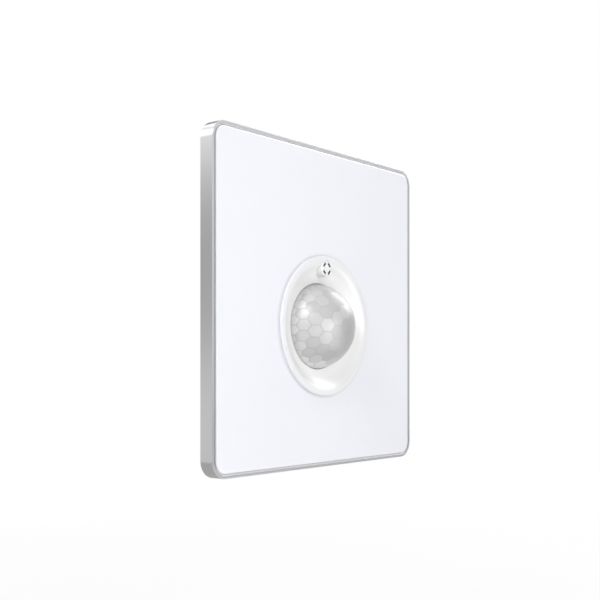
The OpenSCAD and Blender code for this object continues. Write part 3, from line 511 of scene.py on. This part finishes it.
moulded_skin = make_moulded_skin()
drawn_metal = make_drawn_metal()


# Finishes

def new_finish(name):
    finish = bpy.data.materials.new(name)
    finish.use_nodes = True
    tree = finish.node_tree
    return finish, tree, tree.nodes["Principled BSDF"]


def lay_skin(tree, shader, group, **values):
    """Puts a shared skin on the shader's colour and gloss."""
    skin = place_group(tree, group, **values)
    wire(tree, skin.outputs["Colour"], shader.inputs["Base Color"])
    wire(tree, skin.outputs["Roughness"], shader.inputs["Roughness"])
    return skin


def plastic(name, colour, gloss, drift, gloss_drift, grain, relief):
    finish, tree, shader = new_finish(name)
    skin = lay_skin(tree, shader, moulded_skin, Colour=colour, Drift=drift, Gloss=gloss,
                    Gloss_drift=gloss_drift, Grain_scale=grain)
    bump(tree, skin.outputs["Height"], shader, relief, GRAIN_DEPTH)
    return finish


def metal(name, colour, gloss, scale=900.0):
    finish, tree, shader = new_finish(name)
    skin = lay_skin(tree, shader, drawn_metal, Colour=colour, Gloss=gloss, Gloss_drift=0.1,
                    Stretch=(scale, scale, scale), Drift=0.06)
    shader.inputs["Metallic"].default_value = 1.0
    bump(tree, skin.outputs["Height"], shader, 0.1, LINE_DEPTH)
    return finish


def lens_finish():
    """Milky plastic: each facet has its own tone with painted light on some, grooves round its middle and a
    darker seam, and painted shade over the lower right.
    """
    finish, tree, shader = new_finish("milky_facets")
    reach = attribute(tree, "facet_reach")
    ramp = tree.nodes.new("ShaderNodeValToRGB")
    ramp.color_ramp.elements[0].color = LENS_LOW
    ramp.color_ramp.elements[1].color = LENS_HIGH
    wire(tree, attribute(tree, "facet_tone"), ramp.inputs["Fac"])
    seam = ramp_between(tree, reach, SEAM_FROM, 1.0, end=SEAM_DARK, smooth=False)
    depth = math_node(tree, "MULTIPLY", seam, attribute(tree, "facet_seam"))
    lined = blend_colour(tree, depth, ramp.outputs["Color"], LENS_SEAM)
    # painted shade over the lens's lower right
    shade = ramp_between(tree, attribute(tree, "facet_shade"), SHADE_FROM, SHADE_FULL, end=SHADE_DARK)
    colour = blend_colour(tree, shade, lined, LENS_PAINTED_SHADE)
    lay_skin(tree, shader, moulded_skin, Colour=colour, Drift=0.04, Gloss=0.36, Gloss_drift=0.04,
             Grain_scale=2500.0)
    grooves = math_node(tree, "SINE", math_node(tree, "MULTIPLY", reach, FACET_GROOVES))
    bump(tree, grooves, shader, 0.12, RING_DEPTH)
    shader.inputs["Specular IOR Level"].default_value = 0.85
    shader.inputs["Subsurface Weight"].default_value = 0.25
    shader.inputs["Subsurface Radius"].default_value = (1.0, 1.0, 1.0)
    shader.inputs["Subsurface Scale"].default_value = 0.0012
    return finish


def cap_finish():
    """The bezel's white, with painted shade on the slots' walls and the hollow behind them."""
    finish, tree, shader = new_finish("cap_white")
    colour = blend_colour(tree, attribute(tree, "inside"), CAP_WHITE, CAP_PAINTED_SHADE)
    skin = lay_skin(tree, shader, moulded_skin, Colour=colour, Drift=0.015, Gloss=0.3, Gloss_drift=0.04,
                    Grain_scale=2600.0)
    bump(tree, skin.outputs["Height"], shader, 0.015, GRAIN_DEPTH)
    return finish


def plate_finish():
    """Gloss white, with a painted shadow in a thin soft ring round the bezel, reaching further on the right,
    and painted shade on the edge beside the frame's left side.
    """
    finish, tree, shader = new_finish("gloss_white")
    # painted shadow round the bezel, shifted to the right like a cast shadow
    away = from_axis(tree, BEZEL_SHADOW_ASIDE, BEZEL_SHADOW_SQUEEZE)
    near = ramp_between(tree, away, BEZEL_RADIUS + BEZEL_SHADOW_FAR, BEZEL_RADIUS + BEZEL_SHADOW_NEAR)
    shadowed = blend_colour(tree, near, PLATE_WHITE, PLATE_BEZEL_SHADOW)
    # painted shade on the plate's left edge
    colour = blend_colour(tree, attribute(tree, "edge_shade"), shadowed, PLATE_SHADE)
    skin = lay_skin(tree, shader, moulded_skin, Colour=colour, Drift=0.012, Gloss=0.25, Gloss_drift=0.03,
                    Grain_scale=2200.0)
    bump(tree, skin.outputs["Height"], shader, 0.008, GRAIN_DEPTH)
    shader.inputs["Coat Weight"].default_value = 0.15
    shader.inputs["Coat Roughness"].default_value = 0.12
    return finish


def frame_finish():
    """Satin silver, with painted light that makes the groove along the top and the foot lighter, and duller
    there.
    """
    finish, tree, shader = new_finish("satin_silver")
    groove = attribute(tree, "groove_light")
    # painted light: a lighter silver in the groove
    colour = blend_colour(tree, groove, SILVER, SILVER_PAINTED_LIGHT)
    skin = lay_skin(tree, shader, drawn_metal, Colour=colour, Gloss=0.2, Gloss_drift=0.05,
                    Stretch=(500.0, 500.0, 500.0), Drift=0.03)
    dull = math_node(tree, "MULTIPLY", groove, GROOVE_DULL)
    wire(tree, math_node(tree, "ADD", dull, skin.outputs["Roughness"]), shader.inputs["Roughness"])
    shader.inputs["Metallic"].default_value = 1.0
    bump(tree, skin.outputs["Height"], shader, 0.02, LINE_DEPTH)
    return finish


def bezel_finish():
    """White: the dish is glossier and painted lighter than the rim, the rim is duller, and the outer wall
    has painted shade.
    """
    finish, tree, shader = new_finish("bezel_white")
    away = from_axis(tree)
    dish_radius = BEZEL_RADIUS - RIM_WIDTH
    # painted light: the dish inside the rim is lighter
    rim = ramp_between(tree, away, dish_radius - RIM_FADE_IN, dish_radius + RIM_FADE_OUT)
    # painted shade on the outer wall
    wall = ramp_between(tree, away, BEZEL_RADIUS - WALL_FADE_IN, BEZEL_RADIUS - WALL_FADE_OUT)
    face = blend_colour(tree, rim, DISH_PAINTED_LIGHT, RIM_WHITE)
    colour = blend_colour(tree, wall, face, WALL_PAINTED_SHADE)
    skin = lay_skin(tree, shader, moulded_skin, Colour=colour, Drift=0.015, Gloss=0.36, Gloss_drift=0.04,
                    Grain_scale=2600.0)
    dull = math_node(tree, "MULTIPLY", rim, RIM_DULL)
    wire(tree, math_node(tree, "ADD", skin.outputs["Roughness"], dull), shader.inputs["Roughness"])
    bump(tree, skin.outputs["Height"], shader, 0.015, GRAIN_DEPTH)
    return finish


def board_finish(name, mask, copper):
    """Solder mask over copper tracks, with tinned pads."""
    finish, tree, shader = new_finish(name)
    where = object_place(tree)
    flat = tree.nodes.new("ShaderNodeMapping")
    flat.inputs["Rotation"].default_value = (math.radians(90), 0.0, 0.0)
    wire(tree, where, flat.inputs["Vector"])
    tracks = tree.nodes.new("ShaderNodeTexBrick")
    tracks.offset = 0.37
    tracks.inputs["Scale"].default_value = 260.0
    tracks.inputs["Mortar Size"].default_value = 0.055
    tracks.inputs["Mortar Smooth"].default_value = 0.2
    tracks.inputs["Brick Width"].default_value = 1.7
    tracks.inputs["Row Height"].default_value = 0.55
    wire(tree, flat.outputs["Vector"], tracks.inputs["Vector"])
    pads = tree.nodes.new("ShaderNodeTexVoronoi")
    pads.inputs["Scale"].default_value = 320.0
    pads.inputs["Randomness"].default_value = 0.85
    wire(tree, where, pads.inputs["Vector"])
    tinned = ramp_between(tree, pads.outputs["Distance"], PAD_EDGE, PAD_INSIDE, smooth=False)
    tracked = blend_colour(tree, tracks.outputs["Fac"], mask, copper)
    lay_skin(tree, shader, moulded_skin, Colour=blend_colour(tree, tinned, tracked, PAD_TIN), Drift=0.12,
             Gloss=0.32, Gloss_drift=0.12, Grain_scale=1800.0)
    wire(tree, tinned, shader.inputs["Metallic"])
    bump(tree, tracks.outputs["Fac"], shader, 0.3, TRACK_DEPTH)
    return finish


# Finish of each slot. Plastics: colour, gloss, drift, gloss drift, grain and relief
finishes = {
    "silver_metal": frame_finish(),
    "white_gloss": plate_finish(),
    "bezel_white": bezel_finish(),
    "lens_milky": lens_finish(),
    "carrier_grey": plastic("carrier_grey", (0.74, 0.74, 0.73), 0.5, 0.06, 0.12, 1700.0, 0.3),
    "retainer_grey": plastic("retainer_grey", (0.055, 0.056, 0.06), 0.5, 0.15, 0.15, 1700.0, 0.3),
    "screw_steel": metal("zinc_steel", (0.62, 0.64, 0.66), 0.32, 1500.0),
    "base_white": plastic("base_white", (0.80, 0.80, 0.785), 0.48, 0.05, 0.1, 1800.0, 0.3),
    "housing_ivory": plastic("housing_ivory", (0.74, 0.73, 0.68), 0.52, 0.06, 0.12, 1500.0, 0.35),
    "board_green": board_finish("board_mask", (0.015, 0.12, 0.045), (0.03, 0.2, 0.07)),
    "can_nickel": metal("nickel_can", (0.70, 0.68, 0.62), 0.22, 1200.0),
    "filter_dark": plastic("filter_dark", (0.05, 0.035, 0.045), 0.12, 0.1, 0.05, 900.0, 0.05),
    "photocell_tan": plastic("photocell_tan", (0.55, 0.28, 0.12), 0.35, 0.2, 0.1, 1500.0, 0.2),
    "chip_black": plastic("chip_black", (0.03, 0.03, 0.032), 0.45, 0.2, 0.15, 2500.0, 0.3),
    "trimmer_blue": plastic("trimmer_blue", (0.03, 0.10, 0.42), 0.4, 0.1, 0.1, 2000.0, 0.2),
    "rotor_white": plastic("rotor_white", (0.80, 0.80, 0.78), 0.4, 0.05, 0.1, 2000.0, 0.2),
    "pin_brass": metal("gilt_pins", (0.80, 0.62, 0.28), 0.3),
    "relay_blue": plastic("relay_blue", (0.04, 0.13, 0.36), 0.4, 0.08, 0.1, 1600.0, 0.2),
    "film_yellow": plastic("film_yellow", (0.62, 0.42, 0.08), 0.42, 0.08, 0.1, 1500.0, 0.25),
    "can_black": plastic("sleeve_black", (0.02, 0.022, 0.03), 0.3, 0.1, 0.1, 1200.0, 0.1),
    "varistor_blue": plastic("varistor_blue", (0.06, 0.20, 0.42), 0.35, 0.1, 0.1, 1200.0, 0.3),
    "fuse_brown": plastic("fuse_brown", (0.22, 0.06, 0.03), 0.4, 0.1, 0.1, 1200.0, 0.2),
    "terminal_white": plastic("terminal_white", (0.70, 0.70, 0.69), 0.5, 0.06, 0.12, 1700.0, 0.3),
    "busbar_brass": metal("busbar_brass", (0.78, 0.58, 0.25), 0.3),
    "cage_steel": metal("cage_steel", (0.58, 0.60, 0.62), 0.36),
}


# Pieces of the cover

def make_trim_frame():
    groove_edge = GROOVE_WIDTH - LIP_WIDTH
    groove_floor = LIP_FRONT - GROOVE_DEPTH
    section = soften([
        (0.0, FRAME_BACK, FOOT_ROUND),
        (0.0, LIP_FRONT - LIP_BEVEL, LIP_ROUND),
        (-LIP_BEVEL, LIP_FRONT, LIP_ROUND),
        (groove_edge, LIP_FRONT, LIP_ROUND),
        (groove_edge, groove_floor, LIP_ROUND),
        (-LIP_WIDTH, groove_floor, 0.0),
        (-LIP_WIDTH, LEDGE_FRONT, FOLD_ROUND),
        (-LEDGE_INSIDE, LEDGE_FRONT, LEDGE_ROUND),
        (-LEDGE_INSIDE, LEDGE_BACK, LEDGE_ROUND),
        (-LIP_WIDTH, LEDGE_BACK, FOLD_ROUND),
        (-LIP_WIDTH, FRAME_BACK, INNER_ROUND),
    ])
    bm = bmesh.new()
    painted_light_layer = bm.verts.layers.float.new("groove_light")
    stations = rounded_square(FRAME_SIDE, FRAME_CORNER)
    rings = sweep_points(bm, stations, section)
    skin_rings(bm, rings)
    # painted light in the groove, strongest at the top and the foot
    for ring, (_, outward) in zip(rings, stations):
        for v, p in zip(ring, section):
            if p.x < groove_edge + GROOVE_ASIDE and p.y < LIP_FRONT - GROOVE_BELOW:
                v[painted_light_layer] = GROOVE_PAINTED_LIGHT * outward.y ** 2
    piece = mesh_piece("silver_frame", bm)
    half, roof = NOTCH_WIDTH / 2, FRAME_BACK + NOTCH_HEIGHT
    notch = soften([
        (-half, -PAST, 0.0),
        (half, -PAST, 0.0),
        (half, roof, NOTCH_ROUND),
        (-half, roof, NOTCH_ROUND),
    ])
    foot = -FRAME_SIDE / 2
    bm = bmesh.new()
    block(bm, *([bm.verts.new(spot(p.x, y, p.y)) for p in notch] for y in (foot - PAST, foot + NOTCH_REACH)))
    take_away(piece, bm)
    set_on(piece, "front_cover", "trim_frame", finishes["silver_metal"])


def make_front_plate():
    tilts = [math.radians(90 * k / EDGE_STEPS) for k in range(EDGE_STEPS + 1)]
    middle = Vector((-PLATE_EDGE, PLATE_FRONT - PLATE_EDGE))
    edge = [middle + PLATE_EDGE * Vector((math.cos(a), math.sin(a))) for a in tilts]
    section = [Vector((0.0, LEDGE_FRONT)), Vector((0.0, middle.y - EDGE_HOLD)), *edge,
               Vector((middle.x - FACE_HOLD, PLATE_FRONT)), Vector((-SHADE_WIDTH, PLATE_FRONT))]
    bm = bmesh.new()
    shade_layer = bm.verts.layers.float.new("edge_shade")
    stations = rounded_square(PLATE_SIDE, PLATE_CORNER)
    rings = sweep_points(bm, stations, section)
    skin_rings(bm, rings, closed=False)
    for ring, (_, outward) in zip(rings, stations):
        for v, p in zip(ring, section):
            v[shade_layer] = max(0.0, -outward.x) ** 2 * clamp(1.0 + p.x / SHADE_WIDTH) ** SHADE_POWER
    bm.faces.new([ring[-1] for ring in rings])
    bm.faces.new([ring[0] for ring in rings])
    piece = mesh_piece("white_plate", bm)
    bore(piece, SKIRT_RADIUS + SLIP, 0.0, SENSOR_Y, LEDGE_FRONT - PAST, PLATE_FRONT + PAST,
         PLATE_HOLE_STEPS, 0.0)
    set_on(piece, "front_cover", "front_plate", finishes["white_gloss"])


def dish_arc(steps=22):
    """Hollow of the dish, from the rim down to the edge of the lens hole."""
    rim = Vector((BEZEL_RADIUS - RIM_WIDTH, RIM_FRONT))
    floor = Vector((LENS_HOLE, DISH_FLOOR))
    chord = rim - floor
    reach = math.sqrt(DISH_CURVE ** 2 - (chord.length / 2) ** 2)
    middle = (rim + floor) / 2 + Vector((-chord.y, chord.x)).normalized() * reach
    start = math.atan2(rim.y - middle.y, rim.x - middle.x)
    end = math.atan2(floor.y - middle.y, floor.x - middle.x)
    angles = [start + (end - start) * k / steps for k in range(steps + 1)]
    return [middle + DISH_CURVE * Vector((math.cos(a), math.sin(a))) for a in angles]


def bezel_section():
    """Outline of the bezel: outer wall, rim, dish, lens hole, lens seat and skirt."""
    arc = dish_arc()
    rim = soften([(SKIRT_RADIUS, PLATE_FRONT, 0.0), (BEZEL_RADIUS, PLATE_FRONT, RIM_FOOT),
                  (BEZEL_RADIUS, RIM_FRONT, RIM_EDGE), (arc[0].x + RIM_RUN, RIM_FRONT, 0.0)], steps=7)[1:]
    joins = next(k for k, q in enumerate(arc) if (q - arc[0]).length > RIM_RUN)
    leave = rim[-1] - Vector((RIM_PULL, 0.0))
    arrive = arc[joins] + (arc[joins - 1] - arc[joins + 1]).normalized() * RIM_PULL
    run = bend(rim[-1], leave, arrive, arc[joins])
    hole = soften([(*arc[-2], 0.0), (LENS_HOLE, DISH_FLOOR, LENS_HOLE_ROUND),
                   (LENS_HOLE, DOME_MIDDLE, 0.0)])[1:]
    back = [Vector((LENS_SEAT, DOME_MIDDLE)), Vector((LENS_SEAT, BEZEL_BACK)),
            Vector((SKIRT_RADIUS, BEZEL_BACK)), Vector((SKIRT_RADIUS, PLATE_FRONT))]
    return [*rim, *run, *arc[joins:-1], *hole, *back]


def bezel_groove(bosses):
    """Ring groove in the bezel's back, with the bosses left standing."""
    low, high = LENS_SEAT + BOSS_WALL, SKIRT_RADIUS - BOSS_WALL
    back, front = BEZEL_BACK - PAST, DISH_FLOOR - GROOVE_ROOF
    section = [Vector(c) for c in ((low, back), (high, back), (high, front), (low, front))]
    bm = bmesh.new()
    skin_rings(bm, turn_rings(bm, section, 0.0, SENSOR_Y, BEZEL_STEPS, 0.5))
    ring = mesh_piece("groove_ring", bm)
    for x, y, radius in bosses:
        bore(ring, radius, x, y, back - PAST, front + PAST, BOSS_STEPS)
    bm = bmesh.new()
    bm.from_mesh(ring.data)
    bpy.data.objects.remove(ring)
    return bm


def make_bezel():
    bm = bmesh.new()
    skin_rings(bm, turn_rings(bm, bezel_section(), 0.0, SENSOR_Y, BEZEL_STEPS))
    piece = mesh_piece("dished_bezel", bm)
    port_at = SENSOR_Y + PORT_Y
    ring = (LENS_SEAT + SKIRT_RADIUS) / 2
    angles = [math.radians(a) for a in BOSS_ANGLES]
    screws = [(ring * math.cos(a), SENSOR_Y + ring * math.sin(a)) for a in angles]
    bosses = [(x, y, BOSS_RADIUS) for x, y in screws]
    take_away(piece, bezel_groove([*bosses, (0.0, port_at, PORT_RADIUS + BOSS_WALL)]))
    bore(piece, PORT_HOLE, 0.0, port_at, PORT_BACK, RIM_FRONT + PAST)
    bore(piece, PORT_BORE, 0.0, port_at, BEZEL_BACK - PAST, PORT_BACK + PAST)
    for x, y in screws:
        bore(piece, SCREW_HOLE, x, y, BEZEL_BACK - PAST, BEZEL_BACK + SCREW_DEPTH)
    set_on(piece, "front_cover", "sensor_bezel", finishes["bezel_white"])


def dome_point(across, up, sink):
    """Point of the dome at angles right and up from its axis, sunk below the dome's surface."""
    tilt = math.hypot(across, up)
    way = (across / tilt, up / tilt) if tilt else (0.0, 0.0)
    r = DOME_RADIUS - sink
    s = r * math.sin(math.radians(tilt))
    return spot(s * way[0], SENSOR_Y + s * way[1], DOME_MIDDLE + r * math.cos(math.radians(tilt)))


def facet_look(mx, my, dice):
    """Tone of the facet at these angles, with painted light on a spot at the left and towards the edge, and
    strength of its seam, with one draw for each.
    """
    # painted light: a lighter spot at the left and lifts towards the edge
    painted_spot = math.exp(-((mx + PAINTED_SPOT_LEFT) ** 2 + my ** 2) / FACET_PITCH ** 2)
    painted_edge_light = 0.0
    for lift, right, up, first, run in PAINTED_EDGE_LIFTS:
        painted_edge_light += lift * max(0.0, right * mx + up * my - first) / run
    tone = clamp(TONE_MIDDLE + PAINTED_SPOT_LIGHT * painted_spot + painted_edge_light + dice.uniform(-TONE_SPREAD, TONE_SPREAD))
    seam = clamp(SEAM_MIDDLE - (mx + SEAM_UP * my) / SEAM_RUN + dice.uniform(-SEAM_SPREAD, SEAM_SPREAD))
    return tone, seam


def add_facet(bm, mx, my, reach_layer, shade_layer):
    """One facet of the net: rings of points from its middle out to its seams."""
    corner = FACET_PITCH / math.sqrt(3)
    dome_middle = spot(0.0, SENSOR_Y, DOME_MIDDLE)
    shaded = Vector(LENS_SHADED).normalized()

    def add_point(p, reach):
        v = bm.verts.new(dome_point(mx + p.x, my + p.y, SEAM_DEPTH * (p.length / corner) ** 2))
        v[reach_layer] = reach
        v[shade_layer] = (v.co - dome_middle).normalized().dot(shaded)
        return v

    angles = [math.radians(60 * k) for k in range(6)]
    hexagon = [Vector((math.cos(a), math.sin(a))) * corner for a in angles]
    outline = []
    for start, end in zip(hexagon, hexagon[1:] + hexagon[:1]):
        outline += [start.lerp(end, j / FACET_PARTS) for j in range(FACET_PARTS)]
    middle = add_point(Vector((0.0, 0.0)), 0.0)
    rings = [[add_point(p * reach, reach) for p in outline] for reach in FACET_STEPS]
    made = []
    for k in range(len(outline)):
        j = (k + 1) % len(outline)
        made.append(bm.faces.new((middle, rings[0][k], rings[0][j])))
        for inner, outer in zip(rings, rings[1:]):
            made.append(bm.faces.new((inner[k], outer[k], outer[j], inner[j])))
    return made


def close_lens(bm):
    """Adds the collar, the flange and the hollow behind the dome, from the dome's lower edge."""
    foot = [v for v in bm.verts if v.is_boundary]
    turned = [(math.atan2(v.co.z - SENSOR_Y * MM, v.co.x), v) for v in foot]
    around = sorted(turned, key=lambda pair: pair[0])
    tilts = [math.radians(90 * k / HOLLOW_STEPS) for k in reversed(range(HOLLOW_STEPS))]
    hollow = [Vector((LENS_INSIDE * math.cos(a), DOME_MIDDLE + LENS_INSIDE * math.sin(a))) for a in tilts]
    flange = soften([
        (LENS_INSIDE, BEZEL_BACK, 0.0),
        (LENS_FLANGE, BEZEL_BACK, FLANGE_ROUND),
        (LENS_FLANGE, DOME_MIDDLE, FLANGE_ROUND),
        (DOME_RADIUS, DOME_MIDDLE, 0.0),
        (DOME_RADIUS, DISH_FLOOR, COLLAR_ROUND),
        (LENS_INSIDE, DISH_FLOOR, 0.0),
    ])
    section = [*hollow, *flange[:-1]]
    top = bm.verts.new(spot(0.0, SENSOR_Y, DOME_MIDDLE + LENS_INSIDE))
    rings = [[*turn_points(bm, section, 0.0, SENSOR_Y, angle), v] for angle, v in around]
    made = skin_rings(bm, rings, closed=False)
    for a, b in zip(rings, rings[1:] + rings[:1]):
        made.append(bm.faces.new((top, a[0], b[0])))
    return made


def make_lens():
    dice = random.Random(LENS_SEED)
    bm = bmesh.new()
    tone_and_light_layer = bm.faces.layers.float.new("facet_tone")
    seam_layer = bm.faces.layers.float.new("facet_seam")
    reach_layer = bm.verts.layers.float.new("facet_reach")
    shade_layer = bm.verts.layers.float.new("facet_shade")
    for q in range(-FACET_RINGS, FACET_RINGS + 1):
        for r in range(-FACET_RINGS, FACET_RINGS + 1):
            if abs(q + r) > FACET_RINGS:
                continue
            mx, my = FACET_PITCH * math.sqrt(3) / 2 * q, FACET_PITCH * (r + q / 2)
            tone, seam = facet_look(mx, my, dice)
            for face in add_facet(bm, mx, my, reach_layer, shade_layer):
                face[tone_and_light_layer] = tone
                face[seam_layer] = seam
    bmesh.ops.remove_doubles(bm, verts=bm.verts, dist=MERGE_REACH)
    bmesh.ops.bisect_plane(bm, geom=[*bm.verts, *bm.edges, *bm.faces], clear_outer=True,
                           plane_co=spot(0, SENSOR_Y, DISH_FLOOR), plane_no=(0, 1, 0))
    for face in close_lens(bm):
        face[tone_and_light_layer] = COLLAR_TONE
    piece = mesh_piece("faceted_lens", bm)
    set_on(piece, "front_cover", "fresnel_lens", finishes["lens_milky"], FACET_SHARP)


def make_port_cap():
    middle_y = SENSOR_Y + PORT_Y
    section = soften([(0.0, RIM_FRONT - PORT_FACE, 0.0), (PORT_BORE, RIM_FRONT - PORT_FACE, 0.0),
                      (PORT_BORE, PORT_BACK, 0.0), (PORT_RADIUS, PORT_BACK, 0.0),
                      (PORT_RADIUS, RIM_FRONT, PORT_ROUND), (0.0, RIM_FRONT, 0.0)])[1:-1]
    bm = bmesh.new()
    rings = turn_rings(bm, section, 0.0, middle_y, CAP_STEPS)
    skin_rings(bm, rings, closed=False)
    bm.faces.new([ring[0] for ring in rings])
    bm.faces.new([ring[-1] for ring in rings])
    piece = mesh_piece("port_cap", bm)
    bm = bmesh.new()
    low, high = SLOT_RING - SLOT_WIDTH / 2, SLOT_RING + SLOT_WIDTH / 2
    for turned in SLOT_ANGLES:
        first = turned - SLOT_SPAN / 2
        angles = [math.radians(first + SLOT_SPAN * i / SLOT_STEPS) for i in range(SLOT_STEPS + 1)]
        walk = [(high, a) for a in angles] + [(low, a) for a in reversed(angles)]
        slot = [(radius * math.cos(a), middle_y + radius * math.sin(a)) for radius, a in walk]
        prism(bm, slot, RIM_FRONT - PORT_FACE - PAST / 2, RIM_FRONT + PAST / 2)
    take_away(piece, bm)
    # Painted shade: the slots' walls and the hollow behind them are darkened, the front and the outer wall
    # are not
    inside = piece.data.attributes.new("inside", "FLOAT", "FACE")
    for face in piece.data.polygons:
        across = math.hypot(face.center.x, face.center.z - middle_y * MM)
        if across < (PORT_RADIUS - CAP_EDGE) * MM and face.normal.y > -0.5:
            inside.data[face.index].value = 1.0
    set_on(piece, "front_cover", "light_port_cap", cap_finish())


make_trim_frame()
make_front_plate()
make_bezel()
make_lens()
make_port_cap()

# Carried-over pieces take the finish of their own slot
for row in frame["record"]["subparts"]:
    solid = nodes[row["node"]].data
    solid.materials.clear()
    solid.materials.append(finishes[row["material_slot"]])


# Stage: floor, light and camera

def make_floor():
    """Pale floor that keeps the shadow near the switch and runs into the white behind it. Gloss sees it
    darker near the switch: painted shade in reflections.
    """
    bm = bmesh.new()
    bm.faces.new([bm.verts.new((x * FLOOR_REACH, y * FLOOR_REACH, FLOOR_Z)) for x, y in CORNERS])
    floor = mesh_piece("studio_floor", bm)
    finish, tree, shader = new_finish("floor_white")
    shader.inputs["Roughness"].default_value = 0.8
    glow = tree.nodes.new("ShaderNodeEmission")
    glow.inputs["Strength"].default_value = 1.0
    away = vector_node(tree, "LENGTH", object_place(tree)).outputs["Value"]
    path = tree.nodes.new("ShaderNodeLightPath")
    gloss = path.outputs["Is Glossy Ray"]
    # painted shade in reflections: gloss sees the floor darker near the switch
    mirror_shade = math_node(tree, "MULTIPLY", gloss, ramp_between(tree, away, MIRROR_SHADE_FAR, MIRROR_SHADE_NEAR))
    wire(tree, blend_colour(tree, mirror_shade, FLOOR_WHITE, FLOOR_MIRROR_SHADE), shader.inputs["Base Color"])
    fade = ramp_between(tree, away, SHADOW_NEAR, SHADOW_FAR, SHADOW_WHITE, 1.0, smooth=False)
    seen = math_node(tree, "MULTIPLY", path.outputs["Is Camera Ray"], fade)
    mirrored = math_node(tree, "MULTIPLY", gloss, ramp_between(tree, away, MIRROR_NEAR, MIRROR_FAR))
    both = tree.nodes.new("ShaderNodeMixShader")
    wire(tree, math_node(tree, "MAXIMUM", seen, mirrored), both.inputs["Fac"])
    wire(tree, shader.outputs["BSDF"], both.inputs[1])
    wire(tree, glow.outputs["Emission"], both.inputs[2])
    wire(tree, both.outputs["Shader"], tree.nodes["Material Output"].inputs["Surface"])
    floor.data.materials.append(finish)


def make_card(name, middle, across, upward, tones):
    """Studio card that only gloss sees. Its tone runs over its height through the (height, tone) steps."""
    bm = bmesh.new()
    places = [Vector(middle) + Vector(across) * a + Vector(upward) * h for a, h in CORNERS]
    bm.faces.new([bm.verts.new(place) for place in places])
    card = mesh_piece(name, bm)
    finish, tree, shader = new_finish(name + "_tone")
    tree.nodes.remove(shader)
    split = tree.nodes.new("ShaderNodeSeparateXYZ")
    wire(tree, object_place(tree), split.inputs[0])
    low, high = tones[0][0], tones[-1][0]
    ramp = tree.nodes.new("ShaderNodeValToRGB")
    for height, _ in tones[1:-1]:
        ramp.color_ramp.elements.new((height - low) / (high - low))
    for element, (_, tone) in zip(ramp.color_ramp.elements, tones):
        element.color = (tone, tone, tone, 1.0)
    wire(tree, ramp_between(tree, split.outputs["Z"], low, high, smooth=False), ramp.inputs["Fac"])
    glow = tree.nodes.new("ShaderNodeEmission")
    wire(tree, ramp.outputs["Color"], glow.inputs["Color"])
    wire(tree, glow.outputs["Emission"], tree.nodes["Material Output"].inputs["Surface"])
    card.data.materials.append(finish)
    card.visible_camera = False
    card.visible_diffuse = False
    card.visible_shadow = False
    card.visible_transmission = False


def make_sky():
    """White for the camera, a soft level for the pieces, a brighter one for gloss."""
    world = bpy.data.worlds.new("studio")
    bpy.context.scene.world = world
    world.use_nodes = True
    tree = world.node_tree
    back = tree.nodes["Background"]
    back.inputs["Color"].default_value = (1.0, 1.0, 1.0, 1.0)
    split = tree.nodes.new("ShaderNodeSeparateXYZ")
    wire(tree, tree.nodes.new("ShaderNodeTexCoord").outputs["Generated"], split.inputs[0])
    path = tree.nodes.new("ShaderNodeLightPath")
    lean = math_node(tree, "ADD", math_node(tree, "MULTIPLY", split.outputs["X"], SKY_LEAN), SKY_LEVEL)
    soft = math_node(tree, "ADD", math_node(tree, "MULTIPLY", split.outputs["Z"], SKY_RISE), lean)
    rise = math_node(tree, "MULTIPLY", split.outputs["Z"], MIRROR_RISE)
    mirrored = math_node(tree, "ADD", rise, MIRROR_LEVEL)
    strength = choose(tree, path.outputs["Is Glossy Ray"], soft, mirrored)
    wire(tree, choose(tree, path.outputs["Is Camera Ray"], strength, 1.0), back.inputs["Strength"])


def make_lamp(name, place, size, power, mirrored=True, scattered=True, only=()):
    """Soft box aimed at the sensor head. It lights every piece, or only the named ones."""
    lamp = bpy.data.lights.new(name, "AREA")
    lamp.shape = "RECTANGLE"
    lamp.size, lamp.size_y = size
    lamp.energy = power
    holder = bpy.data.objects.new(name, lamp)
    bpy.context.scene.collection.objects.link(holder)
    holder.location = place
    holder.rotation_mode = "QUATERNION"
    holder.rotation_quaternion = (Vector(HEAD) - Vector(place)).to_track_quat("-Z", "Y")
    holder.visible_glossy = mirrored
    holder.visible_diffuse = scattered
    if only:
        lit = bpy.data.collections.new(name + "_lit")
        for piece in only:
            lit.objects.link(bpy.data.objects[piece])
        holder.light_linking.receiver_collection = lit


def make_camera():
    view = bpy.data.cameras.new("camera")
    view.sensor_width = CAMERA_SENSOR
    view.lens = CAMERA_LENS
    view.shift_y = CAMERA_RISE
    view.clip_start, view.clip_end = CAMERA_NEAR, CAMERA_FAR
    holder = bpy.data.objects.new("camera", view)
    bpy.context.scene.collection.objects.link(holder)
    holder.location = CAMERA_PLACE
    holder.rotation_mode = "QUATERNION"
    holder.rotation_quaternion = Vector(CAMERA_AIM).to_track_quat("-Z", "Y")
    bpy.context.scene.camera = holder


make_floor()
for card in CARDS:
    make_card(*card)
make_sky()
make_lamp("left_box", LEFT_PLACE, LEFT_SIZE, LEFT_POWER)
make_lamp("right_box", RIGHT_PLACE, RIGHT_SIZE, RIGHT_POWER)
make_lamp("key_box", KEY_PLACE, KEY_SIZE, KEY_POWER, mirrored=False)
make_lamp("front_box", FRONT_PLACE, FRONT_SIZE, FRONT_POWER, scattered=False,
          only=("dished_bezel", "faceted_lens", "port_cap"))
make_camera()
bpy.context.scene.view_settings.view_transform = "Standard"
